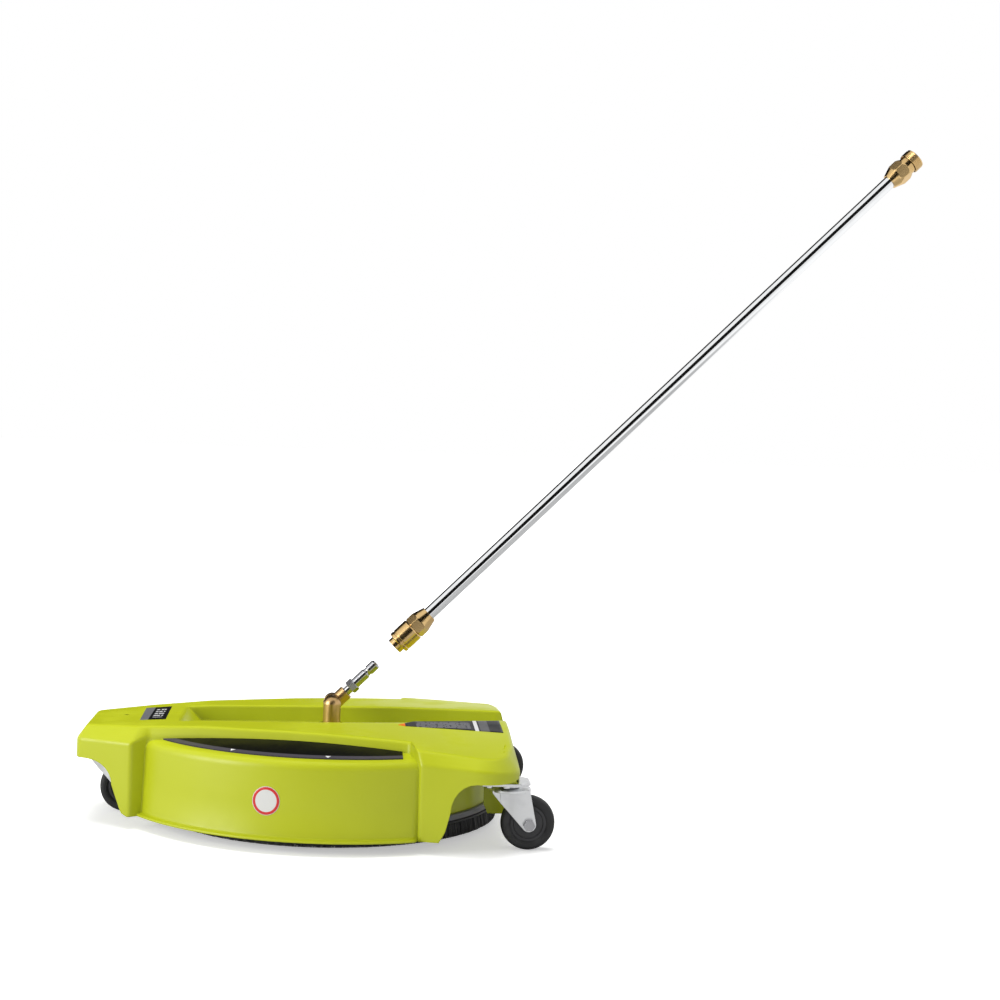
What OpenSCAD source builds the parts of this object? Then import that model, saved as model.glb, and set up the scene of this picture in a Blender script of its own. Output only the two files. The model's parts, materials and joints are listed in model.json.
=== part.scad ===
// Surface cleaner for a pressure washer: a moulded deck on three swivel casters, a round brush skirt,
// a spinning spray bar under it, a knuckle on top and a pull-off wand.
// Millimetres. +X runs from the nose to the tail, +Z is up, and the floor is z = 0.

/* [Deck] */
// Distance from the drum axis to the nose end
nose_reach = 249; // [242:1:262]
// Distance from the drum axis to the tail end
tail_reach = 184; // [182:1:196]
// Half width of the nose end
nose_half = 45; // [40:1:52]
// Half width of the nose leg
nose_leg_half = 82; // [78:1:88]
// Half width of the tail block at its front corner
tail_half = 164; // [160:1:170]
// Height of the deck's lower edge and feet above the floor
deck_foot = 12; // [8:1:14]
// Wall of the deck moulding
deck_wall = 2.5; // [2:0.25:3]
// Radius of the bowed side walls
bulge_radius = 231; // [229:1:236]
// Distance from the deck's centre line to the centre of a bowed side wall
bulge_offset = 59; // [56:0.5:60]
// Height of the bowed side walls' shoulder
shoulder_z = 86.5; // [84:0.5:90]
// Width of the flange at the foot of the bowed side walls
lip_w = 8; // [4:1:10]
// Height of the floor of the channel that the wand folds into
channel_floor = 85; // [84:1:90]
// Thickness of the black edge panels
panel_t = 1.2; // [0.8:0.1:2]

/* [Spray chamber and brush] */
// Outer radius of the round spray chamber
chamber_radius = 166; // [158:1:167]
// Outer radius of the bristle skirt at its tips
brush_radius = 171; // [166:1:171.5]
// Height of the bristle tips above the floor
brush_z = 6.5; // [4:0.5:8]
// Height of the brush holder's lower face
holder_z = 22; // [20:1:24]
// Number of bristle tufts round each of the two rows
tufts_per_row = 192; // [150:6:240]

/* [Spray bar] */
// Length of one spray arm from the axis to its nozzle
spray_reach = 132; // [110:1:145]
// Height of the spray arms above the floor
spray_z = 36; // [33:1:37]
// Outer diameter of the spray arms
spray_tube_d = 9; // [7:0.5:10]
// Diameter of the rotor shaft
rotor_d = 15; // [14:0.5:17]

/* [Knuckle] */
// Height of the knuckle's hinge axis
knuckle_z = 112.5; // [110:0.5:120]
// Outer diameter of the knuckle's standing leg
leg_d = 17.8; // [16:0.1:19]
// Outer diameter of the knuckle's arm
arm_d = 15; // [13:0.1:16.5]
// Outer diameter of the hollow hinge journal
journal_d = 9; // [8:0.1:10]
// Angle of the wand above the floor
wand_angle = 45; // [30:1:60]

/* [Wand] */
// Outer diameter of the wand's tube
tube_d = 13.5; // [12.5:0.1:14.5]
// Distance along the wand from the hinge to the coupler's mouth
coupler_s = 85.8; // [84:0.1:90]
// Distance along the wand from the hinge to the end of the threaded fitting
wand_end_s = 836.5; // [700:1:900]
// Outer diameter of the threaded male end
thread_d = 21.9; // [21:0.1:23]
// Outer diameter of the coupler's sliding collar
collar_d = 24.6; // [23.5:0.1:26]

/* [Casters] */
// Wheel diameter
wheel_d = 52; // [48:1:53]
// Wheel width
wheel_w = 18; // [16:1:19]
// Distance from the swivel axis to the wheel's axle
trail = 18; // [15:1:20]
// Distance from the drum axis to the nose caster's swivel axis
nose_caster_x = 223; // [221:1:226]
// Distance from the drum axis to the tail casters' swivel axes
tail_caster_x = 171.5; // [171:0.5:174]
// Distance from the centre line to the tail casters' swivel axes
tail_caster_y = 137.3; // [136:0.1:140]
// Diameter of the caster axles
axle_d = 6; // [5:0.5:7]

/* [Fits] */
// Radial clearance of a shaft that turns in its bore
run_gap = 0.05; // [0.03:0.01:0.09]
// Radial clearance of a piece that is only put into its hole
loose_gap = 0.15; // [0.1:0.05:0.3]
// Gap between pieces that move past each other
air_gap = 0.35; // [0.3:0.05:0.5]

/* [Hidden] */
$fn = 96;
eps = 0.01;

lime = [0.71, 0.76, 0.17];
gloss_black = [0.07, 0.07, 0.08];
band_grey = [0.45, 0.45, 0.47];
soft_black = [0.05, 0.05, 0.05];
brass = [0.78, 0.62, 0.32];
zinc = [0.78, 0.79, 0.81];
chrome = [0.88, 0.89, 0.9];
steel = [0.6, 0.61, 0.63];
rubber = [0.12, 0.12, 0.13];
seal_black = [0.03, 0.03, 0.03];

// ---- Deck plan: [wall x, wall half width, wall top z, top edge x, top edge half width] ----
bevel = 11;
corner_r = 37;
corner_x = tail_reach - 41;
corner_y = tail_half - 22;
end_sag = 4;
end_r = (pow(corner_y, 2) + pow(end_sag, 2)) / (2 * end_sag);
bridge_x0 = -177;
bridge_x1 = 75;
bridge_steps = 5;

// Height of the deck's top: it rises along the centre line and falls away to the tail's sides
crest = [[-260, 93.8], [-128, 101.6], [-31, 102.5], [67, 104.2], [200, 105.2]];
function top_z(x, y) = lookup(x, crest) - max(0, x + 40) * 2.6e-6 * pow(y, 2);

function bridge_half(x) = 67 + (x - bridge_x0) * 0.25;

function nose_keys() = [
    [-nose_reach, nose_half, 82, -nose_reach + 9, nose_half - 7],
    [-nose_reach + 3, nose_half + 6, 82, -nose_reach + 10.5, nose_half - 2.5],
    [-192.5, nose_leg_half, 83.5, -186, nose_leg_half - 17.4]
];
function bridge_key(x) = [x, bridge_half(x) + 4, top_z(x, bridge_half(x)) - 9, x, bridge_half(x)];
function bridge_keys() = [
    for (i = [0:bridge_steps]) bridge_key(bridge_x0 + (bridge_x1 - bridge_x0) * i / bridge_steps)
];
function corner_key(a) = [
    corner_x + corner_r * cos(a), corner_y + corner_r * sin(a), 81 - 3.5 * cos(a),
    corner_x + (corner_r - bevel) * cos(a), corner_y + (corner_r - bevel) * sin(a)
];
function end_key(y) = [
    tail_reach - end_r + sqrt(pow(end_r, 2) - pow(y, 2)), y, 77.5,
    tail_reach - 7 - end_r + sqrt(pow(end_r, 2) - pow(y, 2)), y * (corner_y - 6) / corner_y
];
function tail_keys() = concat(
    [[84, tail_half, 84, 81, tail_half - 8]],
    [for (a = [100:-20:0]) corner_key(a)],
    [for (f = [0.75, 0.45, 0.15]) end_key(corner_y * f)]
);
deck_keys = concat(nose_keys(), bridge_keys(), tail_keys());

// A closed plan outline moved inwards by g, with mitred corners
function unit(v) = v / norm(v);
function side_normal(a, b) = let (d = unit(b - a)) [-d[1], d[0]];
function inset_point(before, at, after, g) =
    let (n1 = side_normal(before, at), n2 = side_normal(at, after))
    at - g * (n1 + n2) / max(0.5, 1 + n1 * n2);
function inset_line(line, g) =
    let (n = len(line), head = [line[0][0], 0], tail = [line[n - 1][0] + eps, 0])
    [for (i = [0:n - 1])
        inset_point(i == 0 ? head : line[i - 1], line[i], i == n - 1 ? tail : line[i + 1], g)
    ];

// One cross-section of the deck body, from the foot of one wall over the top to the other foot
crown_steps = [1, 0.66, 0.33, 0, -0.33, -0.66, -1];
function deck_section(wall, wall_z, edge, g, foot) = concat(
    [[wall[0], -wall[1], foot], [wall[0], -wall[1], wall_z - g]],
    [for (s = crown_steps) [edge[0], -s * edge[1], top_z(edge[0], s * edge[1]) - g]],
    [[wall[0], wall[1], wall_z - g], [wall[0], wall[1], foot]]
);
function deck_sections(g, foot) =
    let (
        walls = inset_line([for (k = deck_keys) [k[0], k[1]]], g),
        edges = inset_line([for (k = deck_keys) [k[3], k[4]]], g)
    )
    [for (i = [0:len(deck_keys) - 1]) deck_section(walls[i], deck_keys[i][2], edges[i], g, foot)];

// A solid lofted through sections that all have the same number of points; cap holds one end's triangles
module loft(sections, cap) {
    m = len(sections[0]);
    n = len(sections);
    points = [for (s = sections) for (p = s) p];
    sides = [
        for (i = [0:n - 2]) for (j = [0:m - 1]) let (k = (j + 1) % m) for (t = [0, 1])
            t == 0 ? [i * m + j, i * m + k, (i + 1) * m + j]
                : [(i + 1) * m + j, i * m + k, (i + 1) * m + k]
    ];
    first = [for (t = cap) [t[0], t[2], t[1]]];
    last = [for (t = cap) [for (k = t) (n - 1) * m + k]];
    polyhedron(points, concat(sides, first, last), convexity = 10);
}
function fan(from, to) = [for (j = [from + 1:to - 1]) [from, j, j + 1]];

// ---- Bowed side walls ----
bulge_x = 10.6;
bulge_from = -188;
bulge_to = 85;
crown_r0 = 166;
crown_z0 = 94;
shoulder_r = 9;
draft = 2.5;
function cone_z(r) = shoulder_z + (crown_z0 - shoulder_z) * (bulge_radius - shoulder_r - r)
    / (bulge_radius - shoulder_r - crown_r0);

module bulge_profile(g) {
    wall_r = bulge_radius - g;
    polygon(concat(
        g > 0 ? [[0, -1], [wall_r + draft, -1], [wall_r + draft, deck_foot]] : [
            [0, deck_foot], [wall_r + lip_w, deck_foot],
            [wall_r + lip_w, deck_foot + 2.5], [wall_r + draft, deck_foot + 4]
        ],
        [for (a = [0:15:90]) [
            wall_r - shoulder_r * (1 - cos(a)),
            shoulder_z - g - shoulder_r * (1 - sin(a))
        ]],
        [[crown_r0, crown_z0 - g], [0, crown_z0 + 1 - g]]
    ));
}
module one_bulge(side, g) {
    intersection() {
        translate([bulge_x, -side * bulge_offset, 0]) rotate_extrude($fn = 180) bulge_profile(g);
        translate([bulge_from, side > 0 ? -1 : -200, -2])
            cube([bulge_to - bulge_from + (g > 0 ? 6 : 0), 201, 120]);
    }
}
module deck_form(g, foot) {
    m = len(crown_steps) + 4;
    loft(deck_sections(g, foot), concat([[0, 1, m - 2], [0, m - 2, m - 1]], fan(1, m - 2)));
    one_bulge(1, g);
    one_bulge(-1, g);
}

// ---- Channel, arches and seats ----
channel_plan = [[-150, 44], [-31, 49], [67, 46], [122, 38], [200, 22]];
ramp_len = 15;
module channel_outline() {
    polygon(concat(
        [for (p = channel_plan) [p[0], -p[1]]],
        [for (i = [len(channel_plan) - 1:-1:0]) [channel_plan[i][0], channel_plan[i][1]]]
    ));
}
module channel_space() {
    x0 = channel_plan[0][0];
    difference() {
        translate([0, 0, channel_floor]) linear_extrude(40) channel_outline();
        rotate([90, 0, 0]) translate([0, 0, -60]) linear_extrude(120) polygon([
            [x0 - 1, 80], [x0 + ramp_len, 80], [x0 + ramp_len, channel_floor],
            [x0, top_z(x0, 0)], [x0 - 1, 102]
        ]);
    }
}
module channel_tub() {
    translate([0, 0, channel_floor - deck_wall]) linear_extrude(40)
        offset(delta = deck_wall) channel_outline();
}

arch_top = 69;
nose_arch_top = 63.5;
module side_cut(points) {
    rotate([90, 0, 0]) translate([0, 0, -200]) linear_extrude(400) polygon(points);
}
// Points of a quarter ellipse from [x0, z0] up to [x1, z1], upright at the start and level at the end
function arch_curve(x0, z0, x1, z1) = [
    for (a = [0:15:90]) [x0 + (x1 - x0) * (1 - cos(a)), z0 + (z1 - z0) * sin(a)]
];
module tail_arch() {
    side_cut(concat(
        [[103, -1], [103, deck_foot], [108.5, deck_foot + 10]],
        arch_curve(113, deck_foot + 28, 137, arch_top),
        [[166, arch_top], [174, arch_top + 1], [179, arch_top + 3], [184, arch_top + 6]],
        [[220, arch_top + 6], [220, -1]]
    ));
}
module nose_arch() {
    side_cut(concat(
        [[-195, -1], [-195, deck_foot], [-200.5, deck_foot + 3], [-203, deck_foot + 8.5]],
        arch_curve(-211, deck_foot + 29, -236, nose_arch_top),
        [[-270, nose_arch_top + 1], [-270, -1]]
    ));
}

seat_z = 66;
seat_w = 36;
seat_front = 26;
seat_rear = 20;
kingpin_head_r = 7.5;
// Screw places of a caster, measured from its swivel axis towards and away from the drum
screw_offsets = [[-21.5, -13], [-21.5, 13], [-5, -14.5], [-5, 14.5]];
screw_hole_d = 3.6;
module at_casters() {
    translate([-nose_caster_x, 0, 0]) rotate(180) children();
    for (s = [-1, 1]) translate([tail_caster_x, s * tail_caster_y, 0]) children();
}
module caster_seat() {
    difference() {
        translate([-seat_front, -seat_w / 2, seat_z]) cube([seat_front + seat_rear, seat_w, 30]);
        translate([-seat_front + deck_wall, -seat_w / 2 + deck_wall, seat_z + 3])
            cube([seat_front - 2 * deck_wall - kingpin_head_r - 1, seat_w - 2 * deck_wall, 30]);
        translate([0, 0, seat_z - 1]) cylinder(r = kingpin_head_r + 1, h = 4);
        for (p = screw_offsets) translate([p[0], p[1], seat_z - 1]) cylinder(d = screw_hole_d, h = 14);
    }
    for (p = screw_offsets) translate([p[0], p[1], seat_z]) difference() {
        cylinder(d = 8, h = 26);
        translate([0, 0, -1]) cylinder(d = screw_hole_d, h = 14);
    }
}

guard_y = 85;
guard_t = 3;
module skirt_guard() {
    x0 = sqrt(pow(brush_radius, 2) - pow(guard_y - guard_t, 2)) + 1.5;
    for (s = [-1, 1])
        translate([0, s * guard_y + guard_t / 2, 0]) rotate([90, 0, 0]) linear_extrude(guard_t) polygon([
            [x0, 100], [x0, 31], [x0 + 4, holder_z],
            [x0 + 20, holder_z], [x0 + 24, 34], [x0 + 24, 100]
        ]);
}

boss_ring = 118;
boss_count = 6;
boss_d = 10;
module at_bosses() {
    for (i = [0:boss_count - 1]) rotate(30 + i * 360 / boss_count)
        translate([boss_ring, 0, 0]) children();
}

neck_d = 21;
module deck_shell() {
    color(lime) difference() {
        union() {
            difference() {
                deck_form(0, deck_foot);
                deck_form(deck_wall, -1);
                tail_arch();
                nose_arch();
            }
            intersection() {
                deck_form(0, deck_foot);
                union() {
                    channel_tub();
                    at_casters() caster_seat();
                    skirt_guard();
                    at_bosses() translate([0, 0, chamber_top]) cylinder(d = boss_d, h = 30);
                }
            }
        }
        channel_space();
        translate([0, 0, 60]) cylinder(d = neck_d + 2 * loose_gap, h = 40);
        at_bosses() translate([0, 0, 60]) cylinder(d = 2.8, h = 27.5);
        translate([-nose_caster_x + 16, 0, 76]) cylinder(d = 5, h = 30);
    }
}

// ---- Black edge panels on the shoulders ----
panel_gap = 0.8;
panel_r = 219;
module edge_panel(side) {
    color(gloss_black) difference() {
        intersection() {
            translate([bulge_x, -side * bulge_offset, 0]) rotate_extrude($fn = 180) polygon([
                [crown_r0 - 40, cone_z(crown_r0 - 40)], [panel_r, cone_z(panel_r)],
                [panel_r, cone_z(panel_r) + panel_t], [crown_r0 - 40, cone_z(crown_r0 - 40) + panel_t]
            ]);
            translate([-166, side > 0 ? 40 : -200, 80]) cube([234, 160, 30]);
        }
        linear_extrude(200) polygon([
            [bridge_x0 - 20, 0], [bridge_x0 - 20, side * (bridge_half(bridge_x0 - 20) + 4 + panel_gap)],
            [bridge_x1 + 20, side * (bridge_half(bridge_x1 + 20) + 4 + panel_gap)], [bridge_x1 + 20, 0]
        ]);
    }
}
module edge_panel_front() { edge_panel(-1); }
module edge_panel_back() { edge_panel(1); }

// ---- Spray chamber, brush holder and bristles ----
chamber_wall = 3;
chamber_top = channel_floor - deck_wall;
holder_h = 6;
holder_in = chamber_radius - 10;
holder_out = brush_radius - 1;
holder_top = holder_z + holder_h;
screw_d = 4;
module ring(ro, ri, h) {
    difference() {
        cylinder(r = ro, h = h);
        translate([0, 0, -1]) cylinder(r = ri, h = h + 2);
    }
}
module spray_chamber() {
    color(lime) difference() {
        union() {
            translate([0, 0, holder_top]) rotate_extrude($fn = 180) polygon([
                [chamber_radius - chamber_wall, 0], [chamber_radius, 0],
                [chamber_radius, chamber_top - holder_top - 6],
                [chamber_radius - 6, chamber_top - holder_top],
                [0, chamber_top - holder_top], [0, chamber_top - holder_top - chamber_wall],
                [chamber_radius - 7.5, chamber_top - holder_top - chamber_wall],
                [chamber_radius - chamber_wall, chamber_top - holder_top - 7.5]
            ]);
            for (i = [0:11]) rotate(i * 30 + 15)
                translate([30, -1.25, chamber_top - 10]) cube([chamber_radius - 32, 2.5, 9]);
            translate([0, 0, chamber_top - 10]) ring(32, 24, 9);
        }
        translate([0, 0, 60]) cylinder(d = neck_d + 2 * loose_gap, h = 40);
        at_bosses() translate([0, 0, 60]) cylinder(d = screw_d + 2 * loose_gap, h = 40);
    }
}
module chamber_screws() {
    color(steel) at_bosses() translate([0, 0, chamber_top - chamber_wall]) {
        translate([0, 0, -2.6]) cylinder(d = 8, h = 2.6);
        cylinder(d = screw_d, h = chamber_wall);
        cylinder(d = 2.7, h = chamber_wall + 4.5);
    }
}
module brush_holder() {
    color(band_grey) translate([0, 0, holder_z]) rotate_extrude($fn = 180) polygon([
        [holder_in, 0], [holder_out - 0.8, 0], [holder_out, 0.8], [holder_out, holder_h - 0.8],
        [holder_out - 0.8, holder_h], [holder_in, holder_h]
    ]);
}

tuft_w = 3.2;
tuft_sink = 1;
backing_t = 2;
tuft_rows = [[brush_radius - 4, brush_radius - 1.4], [brush_radius - 8.6, brush_radius - 7]];
bristle_nodes = 6;
// Each tuft leans a little outwards from its root ring to its tip ring
module tuft(root_r, tip_r) {
    h = holder_z - backing_t - brush_z + tuft_sink;
    lean = atan((tip_r - root_r) / h);
    translate([root_r, 0, holder_z - backing_t + tuft_sink]) rotate([0, 180 - lean, 0])
        cylinder(d = tuft_w, h = h / cos(lean), $fn = 4);
}
module bristles(part) {
    per_node = tufts_per_row / bristle_nodes;
    step = 360 / tufts_per_row;
    span = 360 / bristle_nodes;
    color(soft_black) rotate(part * span) {
        translate([0, 0, holder_z - backing_t]) rotate_extrude(angle = span - 0.1, $fn = 180)
            translate([brush_radius - 11, 0]) square([9, backing_t]);
        for (row = [0, 1]) for (i = [0:per_node - 1])
            rotate((i + 0.25 + row * 0.5) * step) tuft(tuft_rows[row][0], tuft_rows[row][1]);
    }
}
module bristles_1() { bristles(0); }
module bristles_2() { bristles(1); }
module bristles_3() { bristles(2); }
module bristles_4() { bristles(3); }
module bristles_5() { bristles(4); }
module bristles_6() { bristles(5); }

// ---- Swivel: housing, bearings and shaft ----
housing_d = 40;
housing_bottom = 46;
housing_top = chamber_top - chamber_wall;
neck_top = 94;
bearing_od = 32;
bearing_h = 9;
bearing_gap = 3;
ring_groove_z = housing_bottom + 2;
lower_bearing_z = ring_groove_z + 1.6;
upper_bearing_z = lower_bearing_z + bearing_h + bearing_gap;
shaft_top = upper_bearing_z + bearing_h + 1.5;
spigot_d = 12.8;
spigot_h = 12;
water_d = 6;
module swivel_housing() {
    color(brass) difference() {
        union() {
            translate([0, 0, housing_bottom]) cylinder(d = housing_d, h = housing_top - housing_bottom);
            cylinder_between(neck_d, housing_top - 1, neck_top);
        }
        cylinder_between(bearing_od + 2 * run_gap, housing_bottom - 1, upper_bearing_z + bearing_h + 0.2);
        cylinder_between(bearing_od + 2.4, ring_groove_z, ring_groove_z + 1.4);
        cylinder_between(rotor_d + 4, 60, shaft_top + 1);
        cylinder_between(water_d, 60, neck_top + 1);
        cylinder_between(spigot_d + 2 * run_gap, neck_top - spigot_h, neck_top + 1);
    }
}
module cylinder_between(d, z0, z1) {
    translate([0, 0, z0]) cylinder(d = d, h = z1 - z0);
}
module hexagon(af, h) {
    cylinder(d = af / cos(30), h = h, $fn = 6);
}
washer_t = 1.5;
module deck_washer() {
    color(steel) translate([0, 0, channel_floor]) ring(17, neck_d / 2 + loose_gap, washer_t);
}
lock_nut_h = 6;
module lock_nut() {
    color(brass) translate([0, 0, channel_floor + washer_t]) difference() {
        hexagon(30, lock_nut_h);
        translate([0, 0, -1]) cylinder(d = neck_d + 2 * run_gap, h = lock_nut_h + 2);
    }
}
module bearing(z) {
    color(steel) translate([0, 0, z]) difference() {
        ring(bearing_od / 2, rotor_d / 2 + run_gap, bearing_h);
        for (s = [-1, 1]) translate([0, 0, s > 0 ? bearing_h - 0.5 : -0.5])
            ring(bearing_od / 2 - 3, rotor_d / 2 + 2.5, 1);
    }
}
module bearing_upper() { bearing(upper_bearing_z); }
module bearing_lower() { bearing(lower_bearing_z); }
module shaft_seal() {
    color(seal_black) translate([0, 0, lower_bearing_z + bearing_h])
        ring(bearing_od / 2, rotor_d / 2 + run_gap, bearing_gap);
}
module snap_ring() {
    color(steel) translate([0, 0, ring_groove_z + 0.1]) difference() {
        ring(bearing_od / 2 + 1, bearing_od / 2 - 2.5, 1.2);
        translate([0, -2.5, -1]) cube([20, 5, 4]);
    }
}
hub_h = 18;
hub_w = 26;
socket_z = spray_z + spray_tube_d / 2 + 0.4;
module rotor_shaft() {
    color(steel) difference() {
        union() {
            cylinder_between(rotor_d, socket_z, shaft_top);
            cylinder_between(rotor_d + 5, lower_bearing_z - 4, lower_bearing_z - air_gap);
        }
        cylinder_between(water_d, spray_z - 2, shaft_top + 1);
    }
}
module spray_hub() {
    color(brass) difference() {
        translate([0, 0, spray_z - hub_h / 2]) hexagon(hub_w, hub_h);
        cylinder_between(rotor_d + 2 * run_gap, socket_z, spray_z + hub_h);
        cylinder_between(water_d, spray_z, spray_z + hub_h);
        translate([-hub_w, 0, spray_z]) rotate([0, 90, 0])
            cylinder(d = spray_tube_d + 2 * run_gap, h = 2 * hub_w);
    }
}
nozzle_d = 12;
nozzle_h = 20;
nozzle_tilt = 18;
module on_arms() {
    for (s = [0, 180]) rotate(s) translate([0, 0, spray_z]) children();
}
module spray_arms() {
    color(chrome) on_arms() rotate([0, 90, 0]) difference() {
        translate([0, 0, rotor_d / 2 - 2]) cylinder(d = spray_tube_d, h = spray_reach - rotor_d / 2 + 2);
        translate([0, 0, 1]) cylinder(d = spray_tube_d - 3, h = spray_reach);
    }
}
module spray_nozzles() {
    color(brass) on_arms() translate([spray_reach, 0, 0]) rotate([nozzle_tilt, 0, 0]) difference() {
        union() {
            translate([0, 0, -nozzle_h + 7]) cylinder(d = nozzle_d, h = nozzle_h);
            translate([0, 0, -nozzle_h + 1]) cylinder(d = 7, h = 7);
        }
        translate([0, 0, -nozzle_h - 1]) cylinder(d = 2.4, h = nozzle_h);
        rotate([-nozzle_tilt, 0, 0]) rotate([0, -90, 0]) cylinder(d = spray_tube_d + 2 * run_gap, h = 20);
    }
}

// ---- Knuckle ----
joint_y = leg_d / 2 + 0.6;
arm_y = joint_y + arm_d / 2;
arm_drop = 2.4;
arm_end = 17.5;
knuckle_r = 9.1;
journal_len = 13;
module inlet_elbow() {
    color(brass) difference() {
        union() {
            cylinder_between(leg_d, neck_top, knuckle_z);
            cylinder_between(spigot_d, neck_top - spigot_h + 1, neck_top + 1);
            translate([0, 0, knuckle_z]) sphere(d = leg_d);
            translate([0, 0, knuckle_z]) rotate([-90, 0, 0]) cylinder(d = leg_d, h = joint_y);
        }
        translate([0, 0, knuckle_z]) rotate([-90, 0, 0]) translate([0, 0, joint_y - journal_len - 1])
            cylinder(d = journal_d + 2 * run_gap, h = journal_len + 5);
        cylinder_between(water_d, 60, knuckle_z);
    }
}
// Puts +Z along the wand, with the origin beside the hinge axis
module along_wand(s) {
    translate([0, arm_y, knuckle_z]) rotate([0, 90 - wand_angle, 0])
        translate([arm_drop, 0, s]) children();
}
module elbow_arm() {
    color(brass) difference() {
        union() {
            translate([0, joint_y + air_gap, knuckle_z]) rotate([-90, 0, 0]) {
                cylinder(r = knuckle_r, h = 1.6);
                cylinder(r = knuckle_r - 0.6, h = arm_d);
            }
            along_wand(0) cylinder(d = arm_d, h = arm_end);
            along_wand(0) sphere(d = arm_d);
            translate([0, joint_y - journal_len, knuckle_z]) rotate([-90, 0, 0])
                cylinder(d = journal_d, h = journal_len + 3);
        }
        along_wand(-arm_drop) cylinder(d = 8.4, h = arm_end + 5);
        translate([0, joint_y - journal_len - 1, knuckle_z]) rotate([-90, 0, 0])
            cylinder(d = journal_d - 3.5, h = journal_len + 8);
    }
}
module knuckle_seal() {
    color(seal_black) translate([0, joint_y - journal_len - 0.7, knuckle_z]) rotate([-90, 0, 0])
        ring(journal_d / 2 - 0.2, journal_d / 2 - 1.6, 0.6);
}
// Plug sizes along the wand: shank, hex, body, groove and nose
plug_bore = 4.6;
shank_s = arm_end - 7;
hex_s = 23;
body_s = 30;
groove_s = 45.5;
nose_s = 50;
tip_s = 60.3;
plug_body_d = 10.6;
plug_groove_d = 8.4;
module quick_plug() {
    color(zinc) along_wand(0) difference() {
        union() {
            translate([0, 0, shank_s]) cylinder(d = 8.3, h = hex_s - shank_s);
            translate([0, 0, arm_end + air_gap]) cylinder(d = 9, h = hex_s - arm_end);
            intersection() {
                translate([0, 0, hex_s]) hexagon(12.7, body_s - hex_s);
                translate([0, 0, hex_s]) rotate_extrude() polygon([
                    [0, 0], [6.5, 0], [7.4, 1],
                    [7.4, body_s - hex_s - 1], [6.5, body_s - hex_s], [0, body_s - hex_s]
                ]);
            }
            rotate_extrude() polygon(concat(
                [[0, hex_s + 1], [plug_body_d / 2, hex_s + 1], [plug_body_d / 2, groove_s - 0.8]],
                [for (a = [0:30:180]) [
                    plug_body_d / 2 - (plug_body_d - plug_groove_d) / 2 * sin(a),
                    groove_s + (nose_s - groove_s) * (1 - cos(a)) / 2
                ]],
                [[plug_body_d / 2, tip_s - 1.5], [plug_body_d / 2 - 1.5, tip_s], [0, tip_s]]
            ));
        }
        translate([0, 0, shank_s - 1]) cylinder(d = plug_bore, h = tip_s - shank_s + 2);
    }
}

// ---- Wand ----
ring_len = 5.4;
collar_len = 22;
hex_len = 22;
coupler_bore = plug_body_d + 2 * air_gap + 0.3;
socket_len = 22;
sleeve_d = 17.4;
coupler_end_s = coupler_s + ring_len + collar_len + hex_len;
tube_s = coupler_end_s - 12;
fitting_len = 37.5;
fitting_s = wand_end_s - fitting_len;
tube_in_fitting = 10;
tube_wall = 1.2;
ball_d = 2.8;
ball_count = 4;
ball_s = 8.5;
module coupler_body() {
    hex_z = ring_len + collar_len;
    color(brass) along_wand(coupler_s) difference() {
        union() {
            cylinder(d = sleeve_d, h = hex_z + 1);
            intersection() {
                translate([0, 0, hex_z]) hexagon(21.5, hex_len);
                translate([0, 0, hex_z]) rotate_extrude()
                    polygon([[0, 0], [11.3, 0], [12.2, 1], [12.2, 9], [8.6, hex_len], [0, hex_len]]);
            }
        }
        translate([0, 0, -1]) cylinder(d = coupler_bore, h = socket_len + 1);
        rotate_extrude()
            polygon([[0, -eps], [coupler_bore / 2 + 1.4, -eps], [coupler_bore / 2, 1.6], [0, 1.6]]);
        cylinder(d = water_d, h = hex_z + hex_len);
        translate([0, 0, tube_s - coupler_s]) cylinder(d = tube_d + 2 * run_gap, h = 20);
        for (i = [0:ball_count - 1])
            rotate(i * 360 / ball_count) translate([0, 0, ball_s]) rotate([0, 90, 0])
            cylinder(d = ball_d + 0.2, h = 12);
        translate([0, 0, socket_len - 5.2]) ring(coupler_bore / 2 + 1.3, coupler_bore / 2 - 1, 2);
    }
}
spring_wire = 1;
spring_turns = 4;
spring_r = sleeve_d / 2 + 0.4 + spring_wire / 2;
spring_pitch = spring_wire + 0.5;
spring_room = spring_turns * spring_pitch + spring_wire + 0.6;
collar_h = collar_len - air_gap;
module coupler_collar() {
    bore = sleeve_d / 2 + air_gap;
    pocket = sleeve_d / 2 + 2.1;
    outer = collar_d / 2;
    color(brass) along_wand(coupler_s + ring_len) difference() {
        rotate_extrude() polygon([
            [bore, 0], [outer - 1, 0], [outer, 1],
            [outer, 3.4], [outer - 0.5, 3.9], [outer - 0.5, 5.2], [outer, 5.7],
            [outer, collar_h - 1], [outer - 1, collar_h],
            [pocket, collar_h], [pocket, collar_len - spring_room],
            [bore, collar_len - spring_room]
        ]);
        translate([0, 0, ball_s - ring_len - 1.6]) cylinder(d = sleeve_d + 3, h = 3.4);
    }
}
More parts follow.
